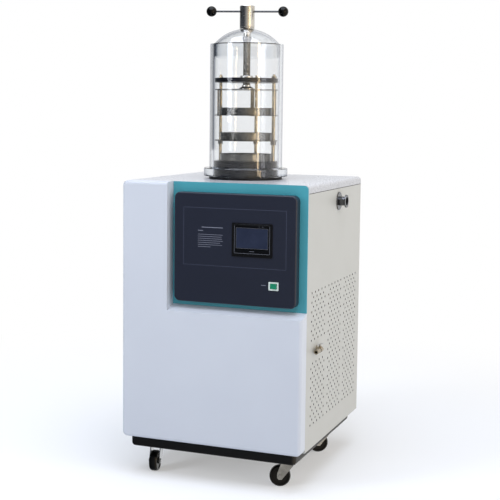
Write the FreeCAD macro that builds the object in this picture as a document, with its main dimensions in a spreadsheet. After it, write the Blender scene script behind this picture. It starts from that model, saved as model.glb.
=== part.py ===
import FreeCAD, Part
import math
import os
import Sketcher

# Freeze dryer: a floor-standing cabinet on four swivel casters, with a cold trap under a clear
# chamber on its top. A rack of three trays stands over the trap, and a hand screw through the
# top of the chamber presses the upper shelf down. Units are millimetres. +Z is up, the front
# faces -Y, and the origin is on the floor under the middle of the whole outline.

doc = FreeCAD.newDocument("FreezeDryer")
sheet = doc.addObject("Spreadsheet::Sheet", "Sizes")
sheet_rows = []
nodes = []


# ---------------------------------------------------------------------------
# Sizes that carry their own spreadsheet formula
# ---------------------------------------------------------------------------

class Size:
    """A length or an angle, held as its value and as the formula that gives it."""

    def __init__(self, value, formula):
        self.value = value
        self.formula = formula

    def joined(self, sign, other, value):
        return Size(value, f"({self.formula} {sign} {other.formula})")

    def __add__(self, other):
        other = as_size(other)
        return self.joined("+", other, self.value + other.value)

    def __radd__(self, other):
        return as_size(other) + self

    def __sub__(self, other):
        other = as_size(other)
        return self.joined("-", other, self.value - other.value)

    def __rsub__(self, other):
        return as_size(other) - self

    def __mul__(self, other):
        other = as_size(other)
        return self.joined("*", other, self.value * other.value)

    def __rmul__(self, other):
        return as_size(other) * self

    def __truediv__(self, other):
        other = as_size(other)
        return self.joined("/", other, self.value / other.value)

    def __neg__(self):
        return as_size(0) - self


def as_size(number):
    if isinstance(number, Size):
        return number
    return Size(float(number), f"{float(number):.6g}")


def size(name, value):
    """Put one driving dimension in the sheet and give it back as a Size."""
    sheet_rows.append(name)
    row = len(sheet_rows)
    sheet.set(f"A{row}", name)
    sheet.set(f"B{row}", str(value))
    sheet.setAlias(f"B{row}", name)
    return Size(float(value), f"Sizes.{name}")


def square_root(number):
    return Size(math.sqrt(number.value), f"sqrt({number.formula})")


def around(radius, angle):
    """The point at this radius and angle (degrees) about the local Z axis."""
    radius = as_size(radius)
    angle = as_size(angle)
    turn = math.radians(angle.value)
    across = Size(radius.value * math.cos(turn), f"({radius.formula} * cos({angle.formula}))")
    along = Size(radius.value * math.sin(turn), f"({radius.formula} * sin({angle.formula}))")
    return across, along


# ---------------------------------------------------------------------------
# Bodies, sketches and features
# ---------------------------------------------------------------------------

def new_body(label):
    body = doc.addObject("PartDesign::Body", label)
    body.Label = label
    body.AllowCompound = True
    nodes.append(body)
    return body


def place(body, x, y, z, turn=0, axis=(0, 0, 1)):
    """Set where the body's own origin lies, turned about the given axis."""
    turn = as_size(turn)
    rotation = FreeCAD.Rotation(FreeCAD.Vector(*axis), turn.value)
    body.Placement = FreeCAD.Placement(FreeCAD.Vector(0, 0, 0), rotation)
    for name, value in (("x", x), ("y", y), ("z", z)):
        body.setExpression(f".Placement.Base.{name}", as_size(value).formula)
    if turn.value:
        body.setExpression(".Placement.Rotation.Angle", turn.formula)


def origin_plane(body, role):
    for feature in body.Origin.OriginFeatures:
        if feature.Role == role:
            return feature
    raise ValueError(role)


def sketch_on(body, plane, offset=0):
    """A sketch on one of the body's own planes, moved along that plane's normal.

    XY looks down Z, XZ has its normal along -Y, and YZ has its normal along +X.
    """
    sketch = body.newObject("Sketcher::SketchObject", "Sketch")
    sketch.AttachmentSupport = [(origin_plane(body, plane + "_Plane"), "")]
    sketch.MapMode = "FlatFace"
    sketch.setExpression(".AttachmentOffset.Base.z", as_size(offset).formula)
    return sketch


def fix(sketch, kind, item, end, value):
    """Hold one coordinate of a point, measured from the sketch's origin."""
    value = as_size(value)
    index = sketch.addConstraint(Sketcher.Constraint(kind, -1, 1, item, end, value.value))
    sketch.setExpression(f"Constraints[{index}]", value.formula)


def hold_radius(sketch, item, radius):
    index = sketch.addConstraint(Sketcher.Constraint("Radius", item, radius.value))
    sketch.setExpression(f"Constraints[{index}]", radius.formula)


def polygon(sketch, points):
    """A closed outline of straight lines, each corner held by its two coordinates."""
    points = [(as_size(x), as_size(y)) for x, y in points]
    first = sketch.GeometryCount
    count = len(points)
    for number in range(count):
        start = points[number]
        end = points[(number + 1) % count]
        line = Part.LineSegment(
            FreeCAD.Vector(start[0].value, start[1].value, 0),
            FreeCAD.Vector(end[0].value, end[1].value, 0),
        )
        sketch.addGeometry(line, False)
    for number in range(count):
        following = first + (number + 1) % count
        sketch.addConstraint(Sketcher.Constraint("Coincident", first + number, 2, following, 1))
    for number in range(count):
        fix(sketch, "DistanceX", first + number, 1, points[number][0])
        fix(sketch, "DistanceY", first + number, 1, points[number][1])


def circle(sketch, x, y, radius):
    x, y, radius = as_size(x), as_size(y), as_size(radius)
    centre = FreeCAD.Vector(x.value, y.value, 0)
    item = sketch.addGeometry(Part.Circle(centre, FreeCAD.Vector(0, 0, 1), radius.value), False)
    fix(sketch, "DistanceX", item, 3, x)
    fix(sketch, "DistanceY", item, 3, y)
    hold_radius(sketch, item, radius)


def rounded(sketch, corners, radii):
    """A closed outline of level and upright lines, with a round at each corner of radius > 0.

    The corners run anticlockwise, and the first line is level.
    """
    corners = [(as_size(x), as_size(y)) for x, y in corners]
    radii = [as_size(radius) for radius in radii]
    count = len(corners)
    starts = []
    ends = []
    for number in range(count):
        here = FreeCAD.Vector(corners[number][0].value, corners[number][1].value, 0)
        ahead = corners[(number + 1) % count]
        ahead = FreeCAD.Vector(ahead[0].value, ahead[1].value, 0)
        step = (ahead - here).normalize()
        starts.append(here + step * radii[number].value)
        ends.append(ahead - step * radii[(number + 1) % count].value)
    lines = []
    for number in range(count):
        lines.append(sketch.addGeometry(Part.LineSegment(starts[number], ends[number]), False))
        level = number % 2 == 0
        kind = "Horizontal" if level else "Vertical"
        sketch.addConstraint(Sketcher.Constraint(kind, lines[number]))
    for number in range(count):
        level = number % 2 == 0
        kind = "DistanceY" if level else "DistanceX"
        fix(sketch, kind, lines[number], 1, corners[number][1 if level else 0])
    for number in range(count):
        before = lines[number - 1]
        after = lines[number]
        if radii[number].value == 0:
            sketch.addConstraint(Sketcher.Constraint("Coincident", before, 2, after, 1))
            continue
        corner_arc(sketch, before, after, ends[number - 1], starts[number], radii[number])


def corner_arc(sketch, before, after, start, end, radius):
    """Join two lines at right angles with an arc that is tangent to both."""
    corner_in = sketch.Geometry[before]
    heading = (corner_in.EndPoint - corner_in.StartPoint).normalize()
    towards = (end - start) - heading * radius.value
    left_turn = heading.x * towards.y - heading.y * towards.x > 0
    inward = FreeCAD.Vector(-heading.y, heading.x, 0) * radius.value
    centre = start + inward if left_turn else start - inward
    angle_start = math.atan2(start.y - centre.y, start.x - centre.x)
    angle_end = math.atan2(end.y - centre.y, end.x - centre.x)
    ring = Part.Circle(centre, FreeCAD.Vector(0, 0, 1), radius.value)
    if left_turn:
        item = sketch.addGeometry(Part.ArcOfCircle(ring, angle_start, angle_end), False)
        first_end, last_end = 1, 2
    else:
        item = sketch.addGeometry(Part.ArcOfCircle(ring, angle_end, angle_start), False)
        first_end, last_end = 2, 1
    sketch.addConstraint(Sketcher.Constraint("Tangent", before, 2, item, first_end))
    sketch.addConstraint(Sketcher.Constraint("Tangent", item, last_end, after, 1))
    hold_radius(sketch, item, radius)


def box_outline(sketch, x, y, width, height, radius=0):
    """A level rectangle about a centre, its corners rounded alike."""
    left = x - width / 2
    right = x + width / 2
    low = y - height / 2
    high = y + height / 2
    rounded(sketch, [(left, low), (right, low), (right, high), (left, high)], [radius] * 4)


def pad(body, sketch, length, reverse=False):
    feature = body.newObject("PartDesign::Pad", "Pad")
    feature.Profile = sketch
    feature.Reversed = reverse
    feature.setExpression("Length", as_size(length).formula)
    return feature


def pocket(body, sketch, length, reverse=False):
    """Cut the sketch out of the body, and make sure that something went."""
    doc.recompute()
    before = body.Shape.Volume
    feature = body.newObject("PartDesign::Pocket", "Pocket")
    feature.Profile = sketch
    feature.Reversed = reverse
    feature.setExpression("Length", as_size(length).formula)
    doc.recompute()
    if not body.Shape.Volume < before - 1e-6:
        raise ValueError(f"a pocket cut nothing out of {body.Label}")
    return feature


def revolve(body, sketch):
    """Turn a sketch of the XZ plane about the local Z axis."""
    feature = body.newObject("PartDesign::Revolution", "Revolution")
    feature.Profile = sketch
    feature.ReferenceAxis = (sketch, ["V_Axis"])
    feature.Angle = 360
    return feature


def turned(body, points):
    """A turned piece: its half section as (radius, height) points."""
    section = sketch_on(body, "XZ")
    polygon(section, points)
    return revolve(body, section)


def round_edges(body, chosen, radius):
    """Round the edges that the test picks, given in the body's own frame."""
    doc.recompute()
    base = body.Tip
    names = []
    for number, edge in enumerate(base.Shape.Edges, start=1):
        if chosen(edge):
            names.append(f"Edge{number}")
    if not names:
        raise ValueError(f"no edge to round on {body.Label}")
    feature = body.newObject("PartDesign::Fillet", "Fillet")
    feature.Base = (base, names)
    feature.setExpression("Radius", as_size(radius).formula)
    doc.recompute()
    return feature


def spans(edge, axis):
    """The lowest and the highest coordinate of an edge along x, y or z."""
    bounds = edge.BoundBox
    return getattr(bounds, f"{axis.upper()}Min"), getattr(bounds, f"{axis.upper()}Max")


def lies_at(edge, axis, value):
    low, high = spans(edge, axis)
    return abs(low - value.value) < 0.01 and abs(high - value.value) < 0.01


def rise_pattern(body, feature, count, pitch):
    """Repeat a feature upwards along its sketch's vertical axis."""
    pattern = body.newObject("PartDesign::LinearPattern", "LinearPattern")
    pattern.Originals = [feature]
    pattern.Direction = (feature.Profile[0], ["V_Axis"])
    pattern.setExpression("Length", (pitch * (count - 1)).formula)
    pattern.Occurrences = count
    body.Tip = pattern
    return pattern


def turn_pattern(body, feature, count, angle):
    """Repeat a feature about the local Z axis, spread over the whole angle given."""
    doc.recompute()
    pattern = body.newObject("PartDesign::PolarPattern", "PolarPattern")
    pattern.Originals = [feature]
    pattern.Axis = (feature.Profile[0], ["N_Axis"])
    pattern.Angle = angle
    pattern.Occurrences = count
    body.Tip = pattern
    return pattern


# ---------------------------------------------------------------------------
# Driving dimensions and counts
# ---------------------------------------------------------------------------

hole_blocks = 3
holes_per_row = 5                 # the rows between hold one hole less
hole_rows_per_block = 29
vent_rows = 8
fan_blades = 5
coil_rings = 5
coil_sides = 8
fin_groups = 10
vapour_holes = 12

# Clearances
joint_gap = size("joint_gap", 0.3)            # between skins and between neighbours that move apart
running_fit = size("running_fit", 0.06)       # radial play of a shaft in its hole
slide_gap = size("slide_gap", 0.4)            # radial play of the plates on the rods

# Cabinet
body_w = size("body_w", 568)
body_d = size("body_d", 593)
body_h = size("body_h", 775)
skin_t = size("skin_t", 1.5)                  # sheet of the sides and the rear
cover_t = size("cover_t", 2)
lid_h = size("lid_h", 23.5)                   # skirt of the top cover
lid_r = size("lid_r", 11)
flange_w = size("flange_w", 12)               # folded edges of the side panels
side_reach = size("side_reach", 26)           # how far the vacuum port stands out of the side
rear_reach = size("rear_reach", 4)            # how far the mains inlet stands out of the rear
edge_round = size("edge_round", 1.5)          # small rounds of moulded rims and cutouts

# Base tray and inner frame
base_h = size("base_h", 34)
base_inset = size("base_inset", 20)
base_rear_inset = size("base_rear_inset", 25)
base_t = size("base_t", 3)
base_r = size("base_r", 12)
deck_t = size("deck_t", 3)
post_w = size("post_w", 25)
post_t = size("post_t", 2)

# Front panel (an L: a full-height column and a low sill), and the bezel in its recess
front_step = size("front_step", 42.6)         # how far the front panel stands before the bezel
front_t = size("front_t", 3.5)
front_r = size("front_r", 10)
corner_r = size("corner_r", 14)
column_w = size("column_w", 148)
sill_h = size("sill_h", 395)
sill_rise = size("sill_rise", 14.5)           # slope of the sill, front to back
bezel_t = size("bezel_t", 3)

# Control fascia: its margins are from the recess's left and the cabinet's right edge, from the
# sill and from the cabinet's top. The screen and the switch are placed from its own edges.
fascia_left = size("fascia_left", 16)
fascia_right = size("fascia_right", 24)
fascia_low = size("fascia_low", 14.5)
fascia_top = size("fascia_top", 29)
fascia_d = size("fascia_d", 28)
fascia_r = size("fascia_r", 17)
fascia_edge_r = size("fascia_edge_r", 4)
fascia_t = size("fascia_t", 3)
window_inset = size("window_inset", 34)       # the bezel's window, inside the fascia's outline
border_inset = size("border_inset", 30)
border_drop = size("border_drop", 42.75)
border_h = size("border_h", 169.5)
border_line = size("border_line", 1.4)
border_depth = size("border_depth", 0.8)
screen_w = size("screen_w", 124)
screen_h = size("screen_h", 97.5)
screen_r = size("screen_r", 3)
screen_proud = size("screen_proud", 2.5)
screen_depth = size("screen_depth", 24)
screen_lap = size("screen_lap", 3)            # how far the screen's rim laps over its cutout
screen_from_right = size("screen_from_right", 134)
screen_from_top = size("screen_from_top", 131.5)
glass_w = size("glass_w", 111)
glass_h = size("glass_h", 82)
glass_t = size("glass_t", 1.5)
switch_w = size("switch_w", 30)
switch_h = size("switch_h", 24)
switch_rim = size("switch_rim", 2)
switch_lap = size("switch_lap", 2)
switch_depth = size("switch_depth", 20)
switch_from_right = size("switch_from_right", 67)
switch_from_low = size("switch_from_low", 62)
rocker_w = size("rocker_w", 19.4)
rocker_h = size("rocker_h", 15.4)
rocker_peak = size("rocker_peak", 3.4)        # height of its ridge in front of the pivot
rocker_tilt = size("rocker_tilt", 10)
rocker_play = size("rocker_play", 0.9)        # room at each end of the rocker for its swing
rocker_sink = size("rocker_sink", 1)          # depth of the pivot behind the fascia's face
rocker_pin_r = size("rocker_pin_r", 1.5)
rocker_pin_l = size("rocker_pin_l", 1.2)
control_lap = size("control_lap", 12)
control_h = size("control_h", 180)
control_d = size("control_d", 70)

# Perforated field of the side panels
hole_across = size("hole_across", 6.7)        # across the flats of a hexagonal hole
hole_first_y = size("hole_first_y", 91)
hole_rear_margin = size("hole_rear_margin", 46.8)
block_gap = size("block_gap", 38)
hole_first_z = size("hole_first_z", 70.8)
hole_pitch_z = size("hole_pitch_z", 27.9)
tap_patch_h = size("tap_patch_h", 56)         # blank patch of the front block at the drain tap

# Rear panel, mains inlet and panel screws
vent_w = size("vent_w", 120)
vent_h = size("vent_h", 5)
vent_pitch = size("vent_pitch", 14)
vent_gap = size("vent_gap", 60)               # between the two columns of slots
vent_z = size("vent_z", 420)
inlet_w = size("inlet_w", 50)
inlet_h = size("inlet_h", 28)
inlet_ear = size("inlet_ear", 9)
inlet_lap = size("inlet_lap", 3)
inlet_wall = size("inlet_wall", 3)
inlet_case_d = size("inlet_case_d", 26)
inlet_mouth_d = size("inlet_mouth_d", 20)
inlet_inset = size("inlet_inset", 94)
inlet_z = size("inlet_z", 60)
contact_l = size("contact_l", 15)
contact_w = size("contact_w", 2)
contact_h = size("contact_h", 4)
contact_pitch = size("contact_pitch", 7)
screw_margin = size("screw_margin", 30)       # from a panel's end to its first screw
screw_d = size("screw_d", 4)
screw_head_d = size("screw_head_d", 8)
screw_head_t = size("screw_head_t", 2.4)
screw_length = size("screw_length", 8)

# Casters
caster_h = size("caster_h", 88)
caster_inset = size("caster_inset", 69)
caster_front_y = size("caster_front_y", 105)
caster_rear = size("caster_rear", 118)
caster_plate_w = size("caster_plate_w", 62)
caster_plate_t = size("caster_plate_t", 3)
wheel_d = size("wheel_d", 63)
wheel_w = size("wheel_w", 24)
wheel_trail = size("wheel_trail", 25)
fork_t = size("fork_t", 3)
fork_gap = size("fork_gap", 1.5)
fork_lip = size("fork_lip", 2)
axle_land = size("axle_land", 9)              # half width of a leg round the axle
race_r = size("race_r", 22)
race_h = size("race_h", 5)
kingpin_r = size("kingpin_r", 5)
kingpin_proud = size("kingpin_proud", 2)
axle_r = size("axle_r", 4)
rivet_head = size("rivet_head", 2.5)
wheel_hub_r = size("wheel_hub_r", 10)
wheel_hub_proud = size("wheel_hub_proud", 1)
wheel_dish = size("wheel_dish", 2)
tyre_h = size("tyre_h", 7)
tyre_round = size("tyre_round", 3)
caster_turn_front_left = size("caster_turn_front_left", 100)
caster_turn_front_right = size("caster_turn_front_right", 21)
caster_turn_rear_left = size("caster_turn_rear_left", 50)
caster_turn_rear_right = size("caster_turn_rear_right", 24)

# Cold trap; heights of the chamber parts are from the cabinet's top
chamber_y = size("chamber_y", 280)            # axis of the trap and the chamber, behind the front
trap_r = size("trap_r", 99)
trap_t = size("trap_t", 1.5)
trap_depth = size("trap_depth", 285)
collar_h = size("collar_h", 43)
rim_w = size("rim_w", 16)
rim_t = size("rim_t", 2)
spout_r = size("spout_r", 8.5)
spout_h = size("spout_h", 15)
coil_tube_r = size("coil_tube_r", 5)
coil_pitch = size("coil_pitch", 36)
coil_top = size("coil_top", 105)
foam_t = size("foam_t", 25)
foam_top = size("foam_top", 8)

# Vacuum port and drain tap on the right side
port_offset = size("port_offset", 64.6)        # behind the trap's axis
port_drop = size("port_drop", 63.5)
port_pipe_r = size("port_pipe_r", 14)
port_bore_r = size("port_bore_r", 12.5)
port_flange_r = size("port_flange_r", 20)
port_flange_t = size("port_flange_t", 5)
port_seat_r = size("port_seat_r", 13)
port_seat_d = size("port_seat_d", 3)
escutcheon_r = size("escutcheon_r", 28)
escutcheon_t = size("escutcheon_t", 3)
tap_y = size("tap_y", 143)
tap_z = size("tap_z", 287)
tap_stand = size("tap_stand", 11)             # from the panel to the barrel's axis
tap_neck_r = size("tap_neck_r", 6)
tap_collar_r = size("tap_collar_r", 12)
tap_collar_t = size("tap_collar_t", 2)
tap_barrel_r = size("tap_barrel_r", 8)
tap_barrel_l = size("tap_barrel_l", 20)
tap_nozzle_r = size("tap_nozzle_r", 7)
tap_nozzle_l = size("tap_nozzle_l", 30)
tap_bore_r = size("tap_bore_r", 4)
tap_boss_r = size("tap_boss_r", 5)
tap_boss_h = size("tap_boss_h", 2)
tap_shank = size("tap_shank", 14)             # threaded shank inside the panel
tap_tail = size("tap_tail", 24)               # hose tail behind the shank
lever_w = size("lever_w", 8)
lever_l = size("lever_l", 26)
lever_t = size("lever_t", 2.5)
lever_stem_r = size("lever_stem_r", 4)
lever_stem_h = size("lever_stem_h", 3)
hose_t = size("hose_t", 2)
hose_bend_r = size("hose_bend_r", 45)

# Refrigeration
compressor_r = size("compressor_r", 80)
compressor_h = size("compressor_h", 226)
compressor_inset = size("compressor_inset", 134)
compressor_rear = size("compressor_rear", 153)
grommet_r = size("grommet_r", 10)
grommet_h = size("grommet_h", 12)
foot_plate_t = size("foot_plate_t", 4)
stub_proud = size("stub_proud", 8)
condenser_w = size("condenser_w", 300)
condenser_h = size("condenser_h", 300)
condenser_d = size("condenser_d", 40)
condenser_inset = size("condenser_inset", 29)
condenser_rear = size("condenser_rear", 228)
condenser_lift = size("condenser_lift", 65)
condenser_foot_w = size("condenser_foot_w", 20)
fin_groove_w = size("fin_groove_w", 12)
fin_groove_d = size("fin_groove_d", 8)
shroud_d = size("shroud_d", 40)
fan_r = size("fan_r", 125)
fan_gap = size("fan_gap", 6)
fan_hub_r = size("fan_hub_r", 26)
fan_hub_l = size("fan_hub_l", 22)
fan_motor_r = size("fan_motor_r", 42)
fan_motor_l = size("fan_motor_l", 66)
fan_shaft_r = size("fan_shaft_r", 4)
fan_stand = size("fan_stand", 1.5)            # from the shroud's back to the fan's hub
fan_bar_w = size("fan_bar_w", 24)
fan_bar_t = size("fan_bar_t", 3)
blade_root = size("blade_root", 18)
blade_tip = size("blade_tip", 38)
blade_rise = size("blade_rise", 7)
blade_t = size("blade_t", 2)
pipe_r = size("pipe_r", 5)
pipe_bore_r = size("pipe_bore_r", 4)
pipe_bend_r = size("pipe_bend_r", 22)
pipe_rise = size("pipe_rise", 45)             # of the discharge line over the condenser
suction_drop = size("suction_drop", 110)

# Chamber
bell_play = size("bell_play", 3)              # from the trap's wall to the bell's bore
bell_wall = size("bell_wall", 11)
bell_h = size("bell_h", 404)                  # tube, from the gasket to its upper rim
bell_flange_w = size("bell_flange_w", 17)
bell_flange_t = size("bell_flange_t", 25)
gasket_t = size("gasket_t", 7)
dome_rise = size("dome_rise", 48)
dome_t = size("dome_t", 6)
skirt_h = size("skirt_h", 40)

# Rack, press and trays; each height is the distance from the piece below
plate_play = size("plate_play", 4.5)          # from the plates to the bell's bore
rod_edge = size("rod_edge", 9.5)              # from a rod's axis to the plates' edge
rod_r = size("rod_r", 5)
rod_end_r = size("rod_end_r", 4)
rod_end_h = size("rod_end_h", 12)             # threaded end above the top plate
rack_base_t = size("rack_base_t", 12)
rack_centre_r = size("rack_centre_r", 35)
rack_spigot_h = size("rack_spigot_h", 5)
vapour_hole_r = size("vapour_hole_r", 4.5)
vapour_hole_turn = size("vapour_hole_turn", 15)
rack_top_t = size("rack_top_t", 13)
shelf_t = size("shelf_t", 2.5)
shelf_gap_low = size("shelf_gap_low", 62.5)   # rack's base to the lower shelf
shelf_gap_high = size("shelf_gap_high", 77)   # lower shelf to the upper one
press_rise = size("press_rise", 78)           # upper shelf to the press plate
press_room = size("press_room", 23.5)         # press plate to the top plate
sleeve_r = size("sleeve_r", 8)
sleeve_h = size("sleeve_h", 12)
tray_play = size("tray_play", 3)              # from a tray's wall to the rods
tray_h = size("tray_h", 22)
tray_t = size("tray_t", 1)
tray_round = size("tray_round", 1.5)
tray_lip = size("tray_lip", 1)
foot_r = size("foot_r", 23.5)
foot_neck_r = size("foot_neck_r", 14)
foot_h = size("foot_h", 14)
foot_rim_t = size("foot_rim_t", 3)
foot_slope_h = size("foot_slope_h", 6)
foot_web_t = size("foot_web_t", 4)
hanger_turn = size("hanger_turn", 9)
hanger_w = size("hanger_w", 12)
hanger_t = size("hanger_t", 1.5)
hanger_edge = size("hanger_edge", 6.5)
hanger_tab = size("hanger_tab", 5)
nut_across = size("nut_across", 13)
nut_h = size("nut_h", 6.5)
screw_r = size("screw_r", 11)
screw_nut_r = size("screw_nut_r", 20.5)
screw_nut_h = size("screw_nut_h", 8)
socket_r = size("socket_r", 14)
socket_h = size("socket_h", 14)
socket_cone_h = size("socket_cone_h", 7)
socket_play = size("socket_play", 1)          # from the socket's mouth to the gland
pivot_r = size("pivot_r", 6)

# Handle
spindle_r = size("spindle_r", 6)
spindle_reach = size("spindle_reach", 37)     # how far the spindle goes into the screw
spindle_room = size("spindle_room", 5)
gland_r = size("gland_r", 11)
gland_drop = size("gland_drop", 24)
gland_rim_t = size("gland_rim_t", 3)
hub_r = size("hub_r", 23)
hub_h = size("hub_h", 66)
hub_chamfer = size("hub_chamfer", 1.5)
bar_r = size("bar_r", 3)
bar_half = size("bar_half", 110.5)            # from the axis to the middle of a ball
bar_drop = size("bar_drop", 17)               # below the hub's top
ball_r = size("ball_r", 16)
handle_turn = size("handle_turn", 16)

doc.recompute()

# Places worked out from the driving dimensions
mid_x = -side_reach / 2
front_y = -(body_d + rear_reach) / 2
half_w = body_w / 2
right_end = half_w + side_reach
base_z = caster_h
body_z = base_z + base_h
top_z = body_z + body_h
seam_z = top_z - lid_h
front_d = front_step + bezel_t
sill_front_z = body_z + sill_h
sill_back_z = sill_front_z + sill_rise
recess_x = column_w - half_w
frame_x = half_w - cover_t - joint_gap
frame_front_y = front_d + joint_gap + cover_t + joint_gap
frame_rear_y = body_d - skin_t * 2 - joint_gap * 2
deck_z = body_z + deck_t
axis_y = front_y + chamber_y

# Fascia and what it carries, from the cabinet's middle and from the floor
fascia_x = (recess_x + fascia_left + half_w - fascia_right) / 2
fascia_w = half_w - fascia_right - recess_x - fascia_left
fascia_high_z = top_z - fascia_top
fascia_low_z = sill_back_z + fascia_low
fascia_h = fascia_high_z - fascia_low_z
fascia_z = (fascia_high_z + fascia_low_z) / 2
fascia_face_y = front_step - fascia_d
border_z = fascia_high_z - border_drop - border_h / 2
screen_x = half_w - fascia_right - screen_from_right
screen_z = fascia_high_z - screen_from_top
switch_x = half_w - fascia_right - switch_from_right
switch_z = fascia_low_z + switch_from_low

# Perforated field
row_gaps = holes_per_row - 1
hole_field_d = body_d - hole_first_y - hole_rear_margin
hole_pitch_y = (hole_field_d - block_gap * (hole_blocks - 1)) / (row_gaps * hole_blocks)
block_pitch = hole_pitch_y * row_gaps + block_gap

# Port, tap, machinery and casters
port_y = chamber_y + port_offset
port_z = top_z - port_drop
tap_middle = half_w + tap_stand
tap_end_x = half_w - tap_shank - tap_tail
inlet_x = half_w - inlet_inset
compressor_x = compressor_inset - half_w
compressor_y = body_d - compressor_rear
compressor_can_z = grommet_h + foot_plate_t
condenser_x = half_w - condenser_inset - condenser_d
condenser_y = body_d - condenser_rear
condenser_z = deck_z + condenser_lift
caster_x = half_w - caster_inset
caster_rear_y = body_d - caster_rear

# Radii of the chamber and of the rack inside it
rim_r = trap_r + rim_w
bell_bore_r = trap_r + bell_play
bell_r = bell_bore_r + bell_wall
bell_flange_r = bell_r + bell_flange_w
plate_r = bell_bore_r - plate_play
rod_ring_r = plate_r - rod_edge
hanger_r = plate_r - hanger_edge
tray_r = rod_ring_r - rod_r - tray_play

# Heights above the cabinet's top
gasket_top = rim_t + gasket_t
bell_top = gasket_top + bell_h
crown_z = bell_top + dome_rise
rack_base_top = collar_h + rack_base_t
shelf_2_z = rack_base_top + shelf_gap_low
shelf_1_z = shelf_2_z + shelf_gap_high
press_z = shelf_1_z + press_rise
press_seat_z = press_z + shelf_t
rack_top_z = press_z + press_room
rack_top_face = rack_top_z + rack_top_t
screw_top = crown_z - gland_drop - socket_play - socket_h
spindle_end = screw_top - spindle_reach
hub_z = crown_z + gland_rim_t + joint_gap
bar_z = hub_z + hub_h - bar_drop
coil_low_z = -coil_top - coil_pitch * (coil_rings - 1)
rod_angles = (0, 90, 180)


# ---------------------------------------------------------------------------
# Base tray, inner frame and skins.
# Their bodies share one frame: x from the cabinet's middle, y from its front, z from the floor.
# ---------------------------------------------------------------------------

def cabinet_body(label):
    body = new_body(label)
    place(body, mid_x, front_y, 0)
    return body


def base_frame():
    """The black tray under the cabinet, open at the top, with rounded lower edges."""
    body = cabinet_body("base_frame")
    middle_y = (base_inset + body_d - base_rear_inset) / 2
    width = body_w - base_inset * 2
    depth = body_d - base_rear_inset - base_inset
    outer = sketch_on(body, "XY", base_z)
    box_outline(outer, as_size(0), middle_y, width, depth, base_r)
    pad(body, outer, base_h)
    inner = sketch_on(body, "XY", base_z + base_t)
    box_outline(inner, as_size(0), middle_y, width - base_t * 2, depth - base_t * 2, base_r - base_t)
    pocket(body, inner, base_h - base_t, reverse=True)
    round_edges(body, lambda edge: lies_at(edge, "z", base_z + base_t), base_r - base_t - 1)
    round_edges(body, lambda edge: lies_at(edge, "z", base_z), base_r - 1)


def post_places():
    """Centres of the four corner posts of the inner frame."""
    middle_x = frame_x - post_w / 2
    low_y = frame_front_y + post_w / 2
    high_y = frame_rear_y - post_w / 2
    return [(side * middle_x, y) for side in (-1, 1) for y in (low_y, high_y)]


def inner_frame():
    """The welded frame: a deck, four posts and a ring of rails under the top cover."""
    body = cabinet_body("inner_frame")
    middle_y = (frame_front_y + frame_rear_y) / 2
    depth = frame_rear_y - frame_front_y
    rail_top = top_z - cover_t
    deck = sketch_on(body, "XY", body_z)
    box_outline(deck, as_size(0), middle_y, frame_x * 2, depth)
    pad(body, deck, deck_t)
    posts = sketch_on(body, "XY", deck_z)
    for x, y in post_places():
        box_outline(posts, x, y, post_w, post_w)
        box_outline(posts, x, y, post_w - post_t * 2, post_w - post_t * 2)
    pad(body, posts, rail_top - post_w - deck_z)
    rails = sketch_on(body, "XY", rail_top - post_w)
    box_outline(rails, as_size(0), middle_y, frame_x * 2, depth)
    box_outline(rails, as_size(0), middle_y, frame_x * 2 - post_w * 2, depth - post_w * 2)
    pad(body, rails, post_w)
    channel = sketch_on(body, "XY", rail_top - post_w)
    inset = post_w - post_t
    box_outline(channel, as_size(0), middle_y, frame_x * 2 - post_t * 2, depth - post_t * 2)
    box_outline(channel, as_size(0), middle_y, frame_x * 2 - inset * 2, depth - inset * 2)
    pocket(body, channel, post_w - post_t, reverse=True)

    def shoulders(edge):
        beside = lies_at(edge, "x", frame_x) or lies_at(edge, "x", -frame_x)
        return lies_at(edge, "z", rail_top) and (beside or lies_at(edge, "y", frame_rear_y))

    round_edges(body, shoulders, lid_r - cover_t)
    holes = sketch_on(body, "XZ", -frame_rear_y)
    for x, z in screw_places():
        circle(holes, x, z, screw_d / 2 + joint_gap / 2)
    pocket(body, holes, screw_length, reverse=True)


def screw_places():
    """Screws down both edges of the rear panel, as (x, z)."""
    x = half_w - skin_t - flange_w / 2
    step = (body_h - lid_h - screw_margin * 2) / 3
    low = body_z + screw_margin
    return [(side * x, low + step * number) for side in (-1, 1) for number in range(4)]


def hole_places(tap_side):
    """The holes of a side panel as (y, z): three blocks of staggered rows.

    The front block of the side with the drain tap leaves a blank patch around it.
    """
    places = []
    for block in range(hole_blocks):
        start = hole_first_y + block_pitch * block
        for row in range(hole_rows_per_block):
            height = hole_first_z + hole_pitch_z * row / 2
            near_tap = abs(height.value - tap_z.value) < tap_patch_h.value / 2
            if tap_side and block == 0 and near_tap:
                continue
            shift = row % 2
            for number in range(holes_per_row - shift):
                y = start + hole_pitch_y * (number + shift / 2)
                places.append((y, body_z + height))
    return places


def hole_outline(x, y, z):
    """One hexagonal perforation, with a corner up."""
    reach = hole_across.value / math.sqrt(3)
    corners = []
    for number in range(7):
        turn = math.radians(60 * number)
        corners.append(FreeCAD.Vector(x, y + reach * math.sin(turn), z + reach * math.cos(turn)))
    return Part.makePolygon(corners)


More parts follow.
